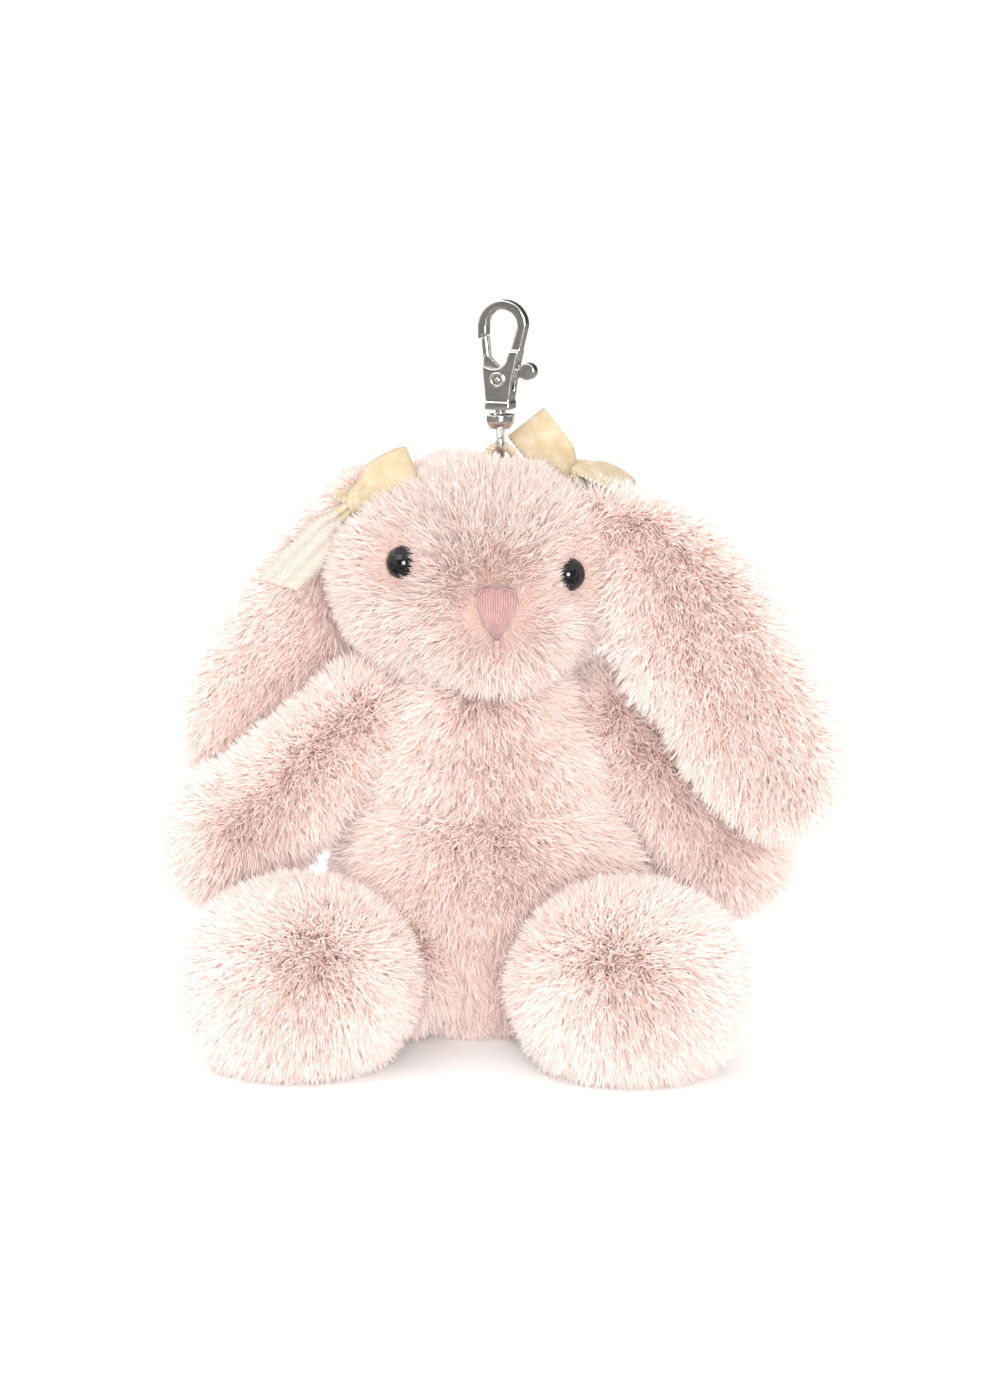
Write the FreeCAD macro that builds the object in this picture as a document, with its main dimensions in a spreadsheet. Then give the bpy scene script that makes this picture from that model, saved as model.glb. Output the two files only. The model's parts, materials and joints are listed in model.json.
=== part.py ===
"""Seated plush bunny on a swivel snap hook: the parametric model of every sub-part.

Millimetres, +Z up, +X to the viewer's right, the face looks along -Y.
The origin is the centre of the flat underside of the body.
"""
import FreeCAD, Part
import math
import os
import Sketcher

Vector = FreeCAD.Vector
UP = Vector(0, 0, 1)

# Driving dimensions. A ball or ellipsoid is given by its semi-axes: wide is X, deep is Y, tall is Z.
LENGTHS = {
    # sewn skins and their fillings
    "skin": 1.0,
    "fill_gap": 0.15,
    "joint_gap": 0.35,
    "seat_gap": 0.03,
    # torso
    "belly_wide": 27.0,
    "belly_deep": 22.0,
    "belly_tall": 30.0,
    "chest_wide": 21.5,
    "chest_deep": 17.0,
    "chest_tall": 20.5,
    "neck_ball": 16.0,
    "pellets_wide": 9.0,
    "pellets_deep": 8.0,
    "pellets_tall": 7.0,
    "tail_ball": 8.0,
    # head
    "skull_wide": 24.8,
    "skull_deep": 21.5,
    "skull_tall": 20.5,
    "cheeks_wide": 25.8,
    "cheeks_deep": 20.5,
    "cheeks_tall": 14.5,
    "muzzle_wide": 12.5,
    "muzzle_deep": 9.0,
    "muzzle_tall": 10.0,
    "eye_left_across": -16.0,
    "eye_left_height": 96.3,
    "eye_right_across": 16.6,
    "eye_right_height": 93.6,
    "eye_dome": 3.3,
    "eye_rise": 2.7,
    "eye_shank": 1.2,
    "eye_shank_length": 5.0,
    "washer_rim": 3.2,
    "washer_thick": 0.8,
    "stitch_thick": 1.6,
    "mouth_width": 0.9,
    # ears and limbs
    "ear_ball": 5.5,
    "shoulder_ball": 7.5,
    "upper_arm": 6.6,
    "hand_wide": 10.5,
    "hand_deep": 9.5,
    "hand_tall": 10.0,
    "wrist": 8.6,
    "hip_ball": 11.0,
    "upper_leg": 8.4,
    "ankle": 13.5,
    "foot_wide": 18.8,
    "foot_deep": 17.0,
    "foot_tall": 16.4,
    # ribbons
    "ribbon_width": 7.0,
    "ribbon_thick": 0.6,
    "loop_height": 4.0,
    "knot_wide": 2.4,
    "knot_deep": 2.7,
    "knot_tall": 3.1,
    "thread_radius": 0.6,
    # hanging loop of cord
    "cord_radius": 1.0,
    "cord_arch": 2.8,
    "cord_leg": 8.0,
    # snap hook, in its own frame: zero height is the underside of its base
    "hook_turn": -18.0,
    "hook_thick": 2.6,
    "cheek_thick": 4.4,
    "base_side": 4.8,
    "base_tall": 1.5,
    "crown_outer": 4.95,
    "crown_inner": 3.15,
    "crown_offset": 0.65,
    "crown_height": 16.5,
    "rivet_height": 5.9,
    "rivet_radius": 1.0,
    "rivet_hole": 0.65,
    "rivet_flange": 1.5,
    "rivet_flange_thick": 0.25,
    "gate_sweep": 8.8,
    "gate_play": 0.15,
    "slot_width": 1.9,
    "slot_floor": 3.4,
    "slot_roof": 9.4,
    "lever_thick": 1.0,
    "lever_hub": 2.0,
    "gate_bar": 0.85,
    "thumb_radius": 1.65,
    "thumb_thick": 2.6,
    "spring_coil": 1.3,
    "spring_wire": 0.12,
    "spring_turns": 2.0,
    # swivel
    "running_gap": 0.05,
    "post_radius": 1.0,
    "post_head": 1.6,
    "post_head_thick": 0.7,
    "swivel_neck": 1.0,
    "barrel_radius": 2.75,
    "barrel_foot": 2.05,
    "barrel_straight": 1.4,
    "barrel_taper": 1.4,
    "ring_radius": 2.9,
    "ring_wire": 0.85,
}

POINTS = {
    "belly": (0.0, 0.0, 27.0),
    "chest": (0.3, 0.0, 51.5),
    "neck": (0.0, 0.0, 62.0),
    "pellets": (0.0, 7.0, 12.0),
    "tail": (0.0, 25.0, 15.0),
    "skull": (-1.5, -1.5, 92.5),
    "cheeks": (-1.5, -2.5, 84.0),
    "muzzle": (2.2, -16.5, 84.5),
    "nose": (2.4, -30.0, 87.5),
    "shoulder_left": (-23.6, -2.0, 63.2),
    "shoulder_right": (25.2, 2.0, 62.6),
    "hand_left": (-50.0, -6.0, 40.0),
    "hand_right": (48.6, 2.5, 35.0),
    "hip_left": (-17.8, -14.0, 16.0),
    "hip_right": (16.4, -16.0, 16.0),
    "foot_left": (-36.0, -32.0, 16.2),
    "foot_right": (28.0, -35.0, 16.2),
    "knot_left": (-27.6, -2.2, 104.8),
    "knot_right": (17.2, 2.8, 109.6),
    "hanger": (3.1, 0.0, 114.0),
    "clasp": (3.1, 0.0, 124.0),
}

# Each ear hangs from its root: centre, half width, half thickness and twist in degrees of each section.
EAR_SECTIONS = {
    "ear_left": [
        ((-24.5, 7.8, 103.3), 4.6, 4.4, 0),
        ((-30.8, 10.5, 96.5), 5.2, 4.0, 20),
        ((-36.5, 11.5, 83.0), 9.5, 4.2, 18),
        ((-43.5, 12.0, 68.0), 11.3, 4.5, 12),
        ((-49.5, 13.0, 55.0), 10.0, 4.3, 8),
        ((-52.0, 13.5, 46.0), 4.0, 2.4, 8),
    ],
    "ear_right": [
        ((23.8, -3.0, 100.7), 4.6, 4.4, 0),
        ((31.0, -6.5, 98.5), 6.5, 4.0, 0),
        ((38.0, -9.0, 92.0), 9.0, 4.2, 0),
        ((45.0, -12.0, 80.0), 11.0, 4.5, 0),
        ((51.0, -14.0, 66.0), 11.8, 4.6, 0),
        ((57.5, -14.0, 54.0), 10.3, 4.4, 0),
        ((61.0, -13.5, 45.5), 4.5, 2.6, 0),
    ],
}

# Each ribbon piece leaves its knot along one direction, with its broad side facing another.
RIBBON_LOOPS = {
    "bow_left_loop_front": ("knot_left", Vector(14.5, -2.6, 11.2), Vector(-0.3, -1.0, 0.45), 16.5),
    "bow_left_loop_back": ("knot_left", Vector(-0.6, 0.55, 0.56), Vector(-0.5, -0.8, 0.1), 8.0),
    "bow_right_loop_standing": ("knot_right", Vector(-0.62, 0.14, 0.78), Vector(0.0, -1.0, 0.1), 14.5),
    "bow_right_loop_side": ("knot_right", Vector(9.3, 0.3, 0.4), Vector(0.15, -0.1, 1.0), 11.5),
}
RIBBON_TAIL = ("knot_left", Vector(-16.0, 1.5, -15.5), Vector(0.1, -1.0, 0.0), 22.5)

# A loop swells from its knot: share of its length, share of the ribbon's width, share of its height.
LOOP_SECTIONS = ((0.0, 0.4, 0.6), (0.35, 0.85, 0.85), (0.8, 1.05, 1.0), (1.0, 1.0, 0.5))

doc = FreeCAD.newDocument("plush_keychain")
sheet = doc.addObject("Spreadsheet::Sheet", "Sizes")
nodes = []


def fill_sheet():
    """One row per driving dimension; a point takes three rows."""
    rows = dict(LENGTHS)
    for name, place in POINTS.items():
        for axis, value in zip("xyz", place):
            rows[f"{name}_{axis}"] = value
    for ear, sections in EAR_SECTIONS.items():
        for number, (place, half_width, half_thick, _) in enumerate(sections):
            for axis, value in zip("xyz", place):
                rows[f"{ear}_{number}_{axis}"] = value
            rows[f"{ear}_{number}_wide"] = half_width
            rows[f"{ear}_{number}_thick"] = half_thick
    for number, (alias, value) in enumerate(rows.items(), start=1):
        sheet.set(f"A{number}", alias)
        sheet.set(f"B{number}", str(value))
        sheet.setAlias(f"B{number}", alias)
    doc.recompute()


def size(alias):
    return float(sheet.get(alias))


def point(name):
    return Vector(size(f"{name}_x"), size(f"{name}_y"), size(f"{name}_z"))


def cell(alias, inset="0"):
    """A cell's expression, made smaller by an inset expression."""
    return f"Sizes.{alias} - ({inset})"


def solid(kind, name, centre=None, **expressions):
    """A Part primitive whose sizes, and centre if one is named, follow the sheet."""
    item = doc.addObject(f"Part::{kind}", name)
    for prop, expression in expressions.items():
        item.setExpression(prop, expression)
    if centre:
        for axis in "xyz":
            item.setExpression(f"Placement.Base.{axis}", f"Sizes.{centre}_{axis}")
    return item


def ball(name, centre, radius):
    return solid("Sphere", name, centre, Radius=radius)


def ellipsoid(name, centre, sizes, inset="0"):
    return solid(
        "Ellipsoid",
        name,
        centre,
        Radius1=cell(f"{sizes}_tall", inset),
        Radius2=cell(f"{sizes}_wide", inset),
        Radius3=cell(f"{sizes}_deep", inset),
    )


def fuse(name, items):
    whole = doc.addObject("Part::MultiFuse", name)
    whole.Shapes = items
    return whole


def cut(name, base, *tools):
    """The base with every tool taken away."""
    for number, tool in enumerate(tools):
        last = number == len(tools) - 1
        step = doc.addObject("Part::Cut", name if last else f"{name}_step_{number}")
        step.Base = base
        step.Tool = tool
        base = step
    return base


def common(name, base, tool):
    both = doc.addObject("Part::Common", name)
    both.Base = base
    both.Tool = tool
    return both


def node(item, name):
    item.Label = name
    nodes.append(item)
    return item


def skin_and_filling(name, filling, form, filling_tools=()):
    """A sewn skin is a form with its own inset copy taken out, and the filling sits just inside it."""
    inside = "Sizes.skin"
    filled = "Sizes.skin + Sizes.fill_gap"
    skin = cut(f"{name}_skin", form("outer", "0"), form("inner", inside))
    core = form("core", filled)
    if filling_tools:
        core = cut(f"{name}_{filling}", core, *filling_tools)
    node(skin, f"{name}_skin")
    node(core, f"{name}_{filling}")
    return skin, core


def axis_placement(place, direction, upward=UP):
    """Local Z runs along the direction, and local Y stays as near the upward vector as it can."""
    ahead = Vector(direction).normalize()
    side = upward.cross(ahead).normalize()
    return FreeCAD.Placement(place, FreeCAD.Rotation(side, ahead.cross(side), ahead, "ZXY"))


def below_seat(name, inset):
    """A wide block under the flat seat, which trims whatever would reach lower."""
    block = solid("Box", f"{name}_below", Length="200", Width="200", Height="100")
    block.setExpression("Placement.Base.x", "-100")
    block.setExpression("Placement.Base.y", "-100")
    block.setExpression("Placement.Base.z", f"{inset} - 100")
    return block


# ---------------------------------------------------------------- torso
def torso_form(tag, inset):
    """Pear of two ellipsoids and the neck ball, flat below, dished where the limbs turn."""
    pear = fuse(
        f"torso_{tag}_pear",
        [
            ellipsoid(f"torso_{tag}_belly", "belly", "belly", inset),
            ellipsoid(f"torso_{tag}_chest", "chest", "chest", inset),
            ball(f"torso_{tag}_neck", "neck", cell("neck_ball", inset)),
        ],
    )
    dishes = [below_seat(f"torso_{tag}", inset)]
    for joint, radius in (("shoulder", "shoulder_ball"), ("hip", "hip_ball")):
        for side in ("left", "right"):
            reach = f"Sizes.{radius} + Sizes.joint_gap + {inset}"
            dishes.append(ball(f"torso_{tag}_{joint}_{side}_dish", f"{joint}_{side}", reach))
    return cut(f"torso_{tag}", pear, *dishes)


def make_torso():
    bag = ellipsoid("pellet_bag", "pellets", "pellets")
    room = ellipsoid("pellet_room", "pellets", "pellets", "-Sizes.fill_gap")
    skin_and_filling("body", "stuffing", torso_form, [room])
    node(bag, "pellet_bag")


def make_tail():
    """A round puff sewn to the back of the seat, dished where it meets the body."""

    def tail_form(tag, inset):
        puff = ball(f"tail_{tag}_ball", "tail", cell("tail_ball", inset))
        return cut(f"tail_{tag}", puff, torso_form(f"tail_{tag}_dish", f"0 - ({inset})"))

    skin_and_filling("tail", "stuffing", tail_form)


# ---------------------------------------------------------------- head
def head_form(tag, inset):
    """Skull, cheeks and muzzle, dished for the neck and for both ear roots."""
    lobes = []
    for lobe in ("skull", "cheeks", "muzzle"):
        lobes.append(ellipsoid(f"head_{tag}_{lobe}", lobe, lobe, inset))
    whole = fuse(f"head_{tag}_lobes", lobes)
    dishes = [ball(f"head_{tag}_neck_dish", "neck", f"Sizes.neck_ball + Sizes.joint_gap + {inset}")]
    for side in ("left", "right"):
        reach = f"Sizes.ear_ball + Sizes.joint_gap + {inset}"
        dishes.append(ball(f"head_{tag}_ear_{side}_dish", f"ear_{side}_0", reach))
    return cut(f"head_{tag}", whole, *dishes)


def eye_seat(side):
    """The point of the skull's front that an eye sits on."""
    centre = point("skull")
    across, height = size(f"eye_{side}_across"), size(f"eye_{side}_height")
    off_x = (across - centre.x) / size("skull_wide")
    off_z = (height - centre.z) / size("skull_tall")
    forward = size("skull_deep") * math.sqrt(1 - off_x**2 - off_z**2)
    return Vector(across, centre.y - forward, height)


def face_normal(place):
    """Outward direction of the skull at a point on it."""
    centre = point("skull")
    wide, deep, tall = size("skull_wide"), size("skull_deep"), size("skull_tall")
    away = place - centre
    return Vector(away.x / wide**2, away.y / deep**2, away.z / tall**2).normalize()


def face_rod(name, side, radius, length):
    """A rod through the face along one eye's axis, from the eye's seat inwards."""
    seat = eye_seat(side)
    inward = face_normal(seat) * -1
    rod = solid("Cylinder", name, Radius=radius, Height=length)
    rod.Placement = axis_placement(seat, inward)
    return rod


def revolved(body, profile):
    """Revolve a closed sketch on the XZ plane about the body's own Z axis."""
    turn = body.newObject("PartDesign::Revolution", f"{body.Name}_turn")
    turn.Profile = profile
    turn.ReferenceAxis = (profile, ["V_Axis"])
    turn.Angle = 360.0
    body.Tip = turn
    return turn


def origin_plane(body, role):
    return next(item for item in body.Origin.OriginFeatures if item.Role == role)


def sketch_on(body, name, role):
    sketch = body.newObject("Sketcher::SketchObject", name)
    sketch.AttachmentSupport = (origin_plane(body, role), [""])
    sketch.MapMode = "FlatFace"
    return sketch


def flat(x, y):
    return Vector(x, y, 0)


def meeting_ends(sketch, one, other):
    """Which end of each of two edges is shared: 1 is a start, 2 is an end."""

    def apart(pair):
        return (sketch.getPoint(one, pair[0]) - sketch.getPoint(other, pair[1])).Length

    return min([(end, start) for end in (1, 2) for start in (1, 2)], key=apart)


def add_outline(sketch, edges):
    """Line and arc edges end to end, tied to each other in a closed loop."""
    numbers = [sketch.addGeometry(edge, False) for edge in edges]
    for one, other in zip(numbers, numbers[1:] + numbers[:1]):
        end, start = meeting_ends(sketch, one, other)
        sketch.addConstraint(Sketcher.Constraint("Coincident", one, end, other, start))


def line(start, end):
    return Part.LineSegment(flat(*start), flat(*end))


def arc(start, middle, end):
    """An arc through three points, always stored counterclockwise."""
    marks = [flat(*start), flat(*middle), flat(*end)]
    if (marks[1] - marks[0]).cross(marks[2] - marks[1]).z < 0:
        marks.reverse()
    return Part.Arc(*marks)


def polygon(corners):
    return [line(a, b) for a, b in zip(corners, corners[1:] + corners[:1])]


def extruded(body, kind, sketch, length, both_ways=True, **settings):
    """A pad or pocket of one sketch; its length is an expression."""
    feature = body.newObject(f"PartDesign::{kind}", f"{sketch.Name}_{kind.lower()}")
    feature.Profile = sketch
    if both_ways:
        feature.SideType = "Symmetric"
    for prop, value in settings.items():
        setattr(feature, prop, value)
    feature.setExpression("Length", length)
    body.Tip = feature
    return feature


def make_eye(side):
    """Glossy dome with its shank, held behind the skin by a pressed washer."""
    seat = eye_seat(side)
    outward = face_normal(seat)
    body = doc.addObject("PartDesign::Body", f"eye_{side}")
    profile = sketch_on(body, f"eye_{side}_profile", "XZ_Plane")
    dome, rise = size("eye_dome"), size("eye_rise")
    shank, length = size("eye_shank"), size("eye_shank_length")
    sphere = (dome**2 + rise**2) / (2 * rise)
    lean = math.asin(dome / sphere)
    middle = (sphere * math.sin(lean / 2), rise - sphere * (1 - math.cos(lean / 2)))
    edges = [
        line((0, -length), (shank, -length)),
        line((shank, -length), (shank, 0)),
        line((shank, 0), (dome, 0)),
        arc((dome, 0), middle, (0, rise)),
        line((0, rise), (0, -length)),
    ]
    add_outline(profile, edges)
    revolved(body, profile)
    body.Placement = axis_placement(seat + outward * size("seat_gap"), outward)
    node(body, f"eye_{side}")

    rim = face_rod(f"eye_{side}_washer_rim", side, "Sizes.washer_rim", "Sizes.washer_thick")
    inward = outward * -1
    rim.Placement.Base = seat + inward * (size("skin") + 1.6)
    bore = face_rod(f"eye_{side}_washer_bore", side, "Sizes.eye_shank + Sizes.seat_gap", "20")
    node(cut(f"eye_{side}_washer", rim, bore), f"eye_{side}_washer")


def shield(width, tall):
    """Half outline of the nose: broad rounded top, straight sides to a narrow round chin."""
    top, chin = tall / 2, -tall / 2
    return [
        (-width / 2, top * 0.55),
        (-width * 0.36, top * 0.92),
        (0, top),
        (width * 0.36, top * 0.92),
        (width / 2, top * 0.55),
        (width * 0.38, -top * 0.2),
        (width * 0.16, chin * 0.85),
        (0, chin),
        (-width * 0.16, chin * 0.85),
        (-width * 0.38, -top * 0.2),
    ]


def stitched_patch(name, outline, head, padded_head):
    """Embroidery: an outline on the face, as thick as its thread, lying on the skin."""
    body = doc.addObject("PartDesign::Body", f"{name}_prism")
    sketch = sketch_on(body, f"{name}_outline", "XZ_Plane")
    add_outline(sketch, polygon(outline))
    extruded(body, "Pad", sketch, "20", both_ways=True)
    body.Placement.Base = point("nose")
    layer = common(f"{name}_layer", body, padded_head)
    node(cut(name, layer, head), name)


def make_head():
    rods, rooms = [], []
    for side in ("left", "right"):
        rods.append(face_rod(f"eye_{side}_hole", side, "Sizes.eye_shank + Sizes.seat_gap", "4"))
        rods[-1].Placement.Base = eye_seat(side) + face_normal(eye_seat(side)) * 1.5
        rooms.append(face_rod(f"eye_{side}_room", side, "Sizes.washer_rim + Sizes.fill_gap", "6"))
    whole, hollow = head_form("outer", "0"), head_form("inner", "Sizes.skin")
    node(cut("head_skin", whole, hollow, *rods), "head_skin")
    core = head_form("core", "Sizes.skin + Sizes.fill_gap")
    node(cut("head_stuffing", core, *rooms), "head_stuffing")
    for side in ("left", "right"):
        make_eye(side)
    padded = head_form("padded", "-Sizes.stitch_thick")
    stitched_patch("nose_stitching", shield(7.6, 9.6), whole, padded)
    half = size("mouth_width") / 2
    top, low = -5.0, -9.5
    mouth = [(-half, top), (half, top), (half, low), (-half, low)]
    stitched_patch("mouth_stitching", mouth, whole, padded)
    return whole


# ---------------------------------------------------------------- ears
def ear_frames(ear):
    """Placement of each section: normal along the ear, major axis across it."""
    sections = EAR_SECTIONS[ear]
    places = [point(f"{ear}_{number}") for number in range(len(sections))]
    frames = []
    for number, place in enumerate(places):
        before = places[max(number - 1, 0)]
        after = places[min(number + 1, len(places) - 1)]
        along = (after - before).normalize()
        across = Vector(0, 1, 0).cross(along).normalize()
        twist = FreeCAD.Rotation(along, sections[number][3])
        across = twist.multVec(across)
        turn = FreeCAD.Rotation(across, along.cross(across), along, "ZXY")
        frames.append((place, turn, along))
    return frames


def make_ear(side):
    """A flat padded flap that hangs from a round root."""
    ear = f"ear_{side}"
    frames = ear_frames(ear)
    last = len(frames) - 1

    def ear_form(tag, inset):
        depth = {"outer": 0.0, "inner": size("skin"), "core": size("skin") + size("fill_gap")}[tag]
        rings = []
        for number, (place, turn, along) in enumerate(frames):
            ring = doc.addObject("Part::Ellipse", f"{ear}_{tag}_section_{number}")
            ring.setExpression("MajorRadius", cell(f"{ear}_{number}_wide", inset))
            ring.setExpression("MinorRadius", cell(f"{ear}_{number}_thick", inset))
            back = along * (-depth if number == last else 0)
            ring.Placement = FreeCAD.Placement(place + back, turn)
            rings.append(ring)
        flap = doc.addObject("Part::Loft", f"{ear}_{tag}_flap")
        flap.Sections = rings
        flap.Solid = True
        flap.Ruled = False
        root = ball(f"{ear}_{tag}_root", f"{ear}_0", cell("ear_ball", inset))
        return fuse(f"{ear}_{tag}", [flap, root])

    skin_and_filling(ear, "batting", ear_form)


# ---------------------------------------------------------------- limbs
def taper_rod(name, start, end, near, far):
    """A cone from one point to another; its radii are expressions."""
    rod = solid("Cone", name, Radius1=near, Radius2=far)
    rod.Height = (end - start).Length
    rod.Placement = axis_placement(start, end - start)
    return rod


def make_arm(side):
    def arm_form(tag, inset):
        name = f"arm_{side}_{tag}"
        near = cell("upper_arm", inset)
        rod = taper_rod(
            f"{name}_sleeve", point(f"shoulder_{side}"), point(f"hand_{side}"), near, cell("wrist", inset)
        )
        top = ball(f"{name}_shoulder", f"shoulder_{side}", cell("shoulder_ball", inset))
        paw = ellipsoid(f"{name}_hand", f"hand_{side}", "hand", inset)
        return fuse(name, [rod, top, paw])

    skin_and_filling(f"arm_{side}", "stuffing", arm_form)


def make_leg(side):
    def leg_form(tag, inset):
        name = f"leg_{side}_{tag}"
        near = cell("upper_leg", inset)
        thigh = taper_rod(
            f"{name}_thigh", point(f"hip_{side}"), point(f"foot_{side}"), near, cell("ankle", inset)
        )
        top = ball(f"{name}_hip", f"hip_{side}", cell("hip_ball", inset))
        foot = ellipsoid(f"{name}_foot", f"foot_{side}", "foot", inset)
        whole = fuse(f"{name}_whole", [thigh, top, foot])
        return cut(name, whole, below_seat(name, inset))

    skin_and_filling(f"leg_{side}", "stuffing", leg_form)


# ---------------------------------------------------------------- ribbons
def ribbon_placement(place, along, facing):
    """Local X runs along the ribbon, local Z out of its broad side."""
    ahead = Vector(along).normalize()
    across = Vector(facing).cross(ahead).normalize()
    return FreeCAD.Placement(place, FreeCAD.Rotation(ahead, across, ahead.cross(across), "XYZ"))


def make_ribbon_loop(name, knots):
    """A band folded back on itself: it swells away from the knot, and its middle is open."""
    knot, along, facing, length = RIBBON_LOOPS[name]
    seat = ribbon_placement(point(knot), along, facing)
    across_ribbon = FreeCAD.Rotation(Vector(0, 1, 0), UP, Vector(1, 0, 0), "XYZ")
    rings = []
    for number, (reach, wide, tall) in enumerate(LOOP_SECTIONS):
        ring = doc.addObject("Part::Ellipse", f"{name}_section_{number}")
        ring.setExpression("MajorRadius", f"Sizes.ribbon_width / 2 * {wide}")
        ring.setExpression("MinorRadius", f"Sizes.loop_height / 2 * {tall}")
        ring.Placement = seat * FreeCAD.Placement(Vector(reach * length, 0, 0), across_ribbon)
        rings.append(ring)
    pad = doc.addObject("Part::Loft", f"{name}_pad")
    pad.Sections = rings
    pad.Solid = True
    open_from, open_to = 0.42 * length, length - size("ribbon_thick")
    half = size("loop_height") / 2 - size("ribbon_thick")
    middle = solid("Box", f"{name}_middle", Width="20")
    middle.Length = open_to - open_from
    middle.Height = half
    middle.Placement = seat * FreeCAD.Placement(Vector(open_from, -10, -half / 2), FreeCAD.Rotation())
    node(cut(name, pad, middle, knots[knot]), name)


def make_ribbon_tail(knots):
    """A single flat end, pleated at the knot and cut slantwise."""
    knot, along, facing, length = RIBBON_TAIL
    body = doc.addObject("PartDesign::Body", "bow_left_tail_strip")
    sketch = sketch_on(body, "bow_left_tail_outline", "XY_Plane")
    half, slant = size("ribbon_width") / 2, size("ribbon_width") * 0.6
    pleat, spread = half * 0.4, 7.0
    corners = [(1.5, -pleat), (spread, -half), (length, -half), (length - slant, half)]
    add_outline(sketch, polygon(corners + [(spread, half), (1.5, pleat)]))
    extruded(body, "Pad", sketch, "Sizes.ribbon_thick")
    body.Placement = ribbon_placement(point(knot), along, facing)
    node(cut("bow_left_tail", body, knots[knot]), "bow_left_tail")


def make_bow_thread(side, knots, head):
    """The sewing thread that ties a knot down to the skin."""
    place = point(f"knot_{side}")
    inward = point("skull") - place
    rod = solid("Cylinder", f"bow_{side}_thread_rod", Radius="Sizes.thread_radius", Height="8")
    rod.Placement = axis_placement(place, inward)
    thread = cut(f"bow_{side}_thread", rod, knots[f"knot_{side}"], head)
    node(thread, f"bow_{side}_thread")


def make_bows(head):
    knots = {}
    for side in ("left", "right"):
        knot = f"knot_{side}"
        knots[knot] = ellipsoid(f"{knot}_ball", knot, "knot")
        node(cut(f"bow_{side}_knot", knots[knot], head), f"bow_{side}_knot")
    for name in RIBBON_LOOPS:
        make_ribbon_loop(name, knots)
    make_ribbon_tail(knots)
    for side in ("left", "right"):
        make_bow_thread(side, knots, head)


# ---------------------------------------------------------------- hanging loop
def make_hanging_loop(head):
    """An arch of cord whose two legs are sewn into the crown of the head."""
    arch = solid(
        "Torus", "hanger_arch", "hanger", Radius1="Sizes.cord_arch", Radius2="Sizes.cord_radius", Angle3="180"
    )
    arch.Placement.Rotation = FreeCAD.Rotation(Vector(1, 0, 0), 90)
    pieces = [arch]
    for side in (-1, 1):
        name = f"hanger_leg_{side + 1}"
        leg = solid("Cylinder", name, Radius="Sizes.cord_radius", Height="Sizes.cord_leg")
        leg.Placement.Base = point("hanger") + Vector(side * size("cord_arch"), 0, -size("cord_leg"))
        pieces.append(leg)
    node(cut("hanging_loop", fuse("hanger_cord", pieces), head), "hanging_loop")


# ---------------------------------------------------------------- snap hook
def hook_placement():
    turn = FreeCAD.Rotation(UP, size("hook_turn"))
    return FreeCAD.Placement(point("clasp"), turn)


def arc_about(centre, radius, from_degrees, to_degrees):
    """An arc about a centre, from one bearing to another."""
    marks = []
    for bearing in (from_degrees, (from_degrees + to_degrees) / 2, to_degrees):
        angle = math.radians(bearing)
        marks.append((centre[0] + radius * math.cos(angle), centre[1] + radius * math.sin(angle)))
    return arc(*marks)


# corners of the hook's lower end, seen from the front: x, z from the swivel's axis and the base
HIP_OF_HOOK = (3.0, 6.0)  # where the spine widens out of the base
FOOT = 2.4  # half the width of the base
NOSE_OF_CHEEK = (-3.1, 8.9)  # front upper corner of the cheeks
CHEEK_DIP = (-0.6, 8.1)
CHEEK_HEEL = (1.7, 9.6)  # where the cheeks meet the spine
SPINE_STEP = [(2.3, 11.6), (4.3, 11.6)]  # the thick cheeks end on the spine here


def hook_outline():
    """The whole hook seen from the front: base, spine, crown and the tip over the gate."""
    crown = (size("crown_offset"), size("crown_height"))
    outer, inner = size("crown_outer"), size("crown_inner")
    reach = size("gate_sweep") + size("gate_play")
    rivet = size("rivet_height")
    left_out, left_in = crown[0] - outer, crown[0] - inner
    tip_out = rivet + math.sqrt(reach**2 - left_out**2)
    tip_in = rivet + math.sqrt(reach**2 - left_in**2)
    bearing_out = math.degrees(math.atan2(tip_out - rivet, left_out))
    bearing_in = math.degrees(math.atan2(tip_in - rivet, left_in))
    base = size("base_tall")
    return [
        line((left_out, tip_out), (left_out, crown[1])),
        arc_about(crown, outer, 180, 0),
        line((crown[0] + outer, crown[1]), HIP_OF_HOOK),
        line(HIP_OF_HOOK, (FOOT, base)),
        line((FOOT, base), (-FOOT, base)),
        line((-FOOT, base), NOSE_OF_CHEEK),
        arc(NOSE_OF_CHEEK, CHEEK_DIP, CHEEK_HEEL),
        line(CHEEK_HEEL, (crown[0] + inner, crown[1])),
        arc_about(crown, inner, 0, 180),
        line((left_in, crown[1]), (left_in, tip_in)),
        arc_about((0, rivet), reach, bearing_in, bearing_out),
    ]


def cheek_outline():
    """The thick lower part that holds the lever between its two cheeks."""
    base = size("base_tall")
    return [
        line(HIP_OF_HOOK, (FOOT, base)),
        line((FOOT, base), (-FOOT, base)),
        line((-FOOT, base), NOSE_OF_CHEEK),
        arc(NOSE_OF_CHEEK, CHEEK_DIP, CHEEK_HEEL),
        line(CHEEK_HEEL, SPINE_STEP[0]),
        line(*SPINE_STEP),
        line(SPINE_STEP[1], HIP_OF_HOOK),
    ]


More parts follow.
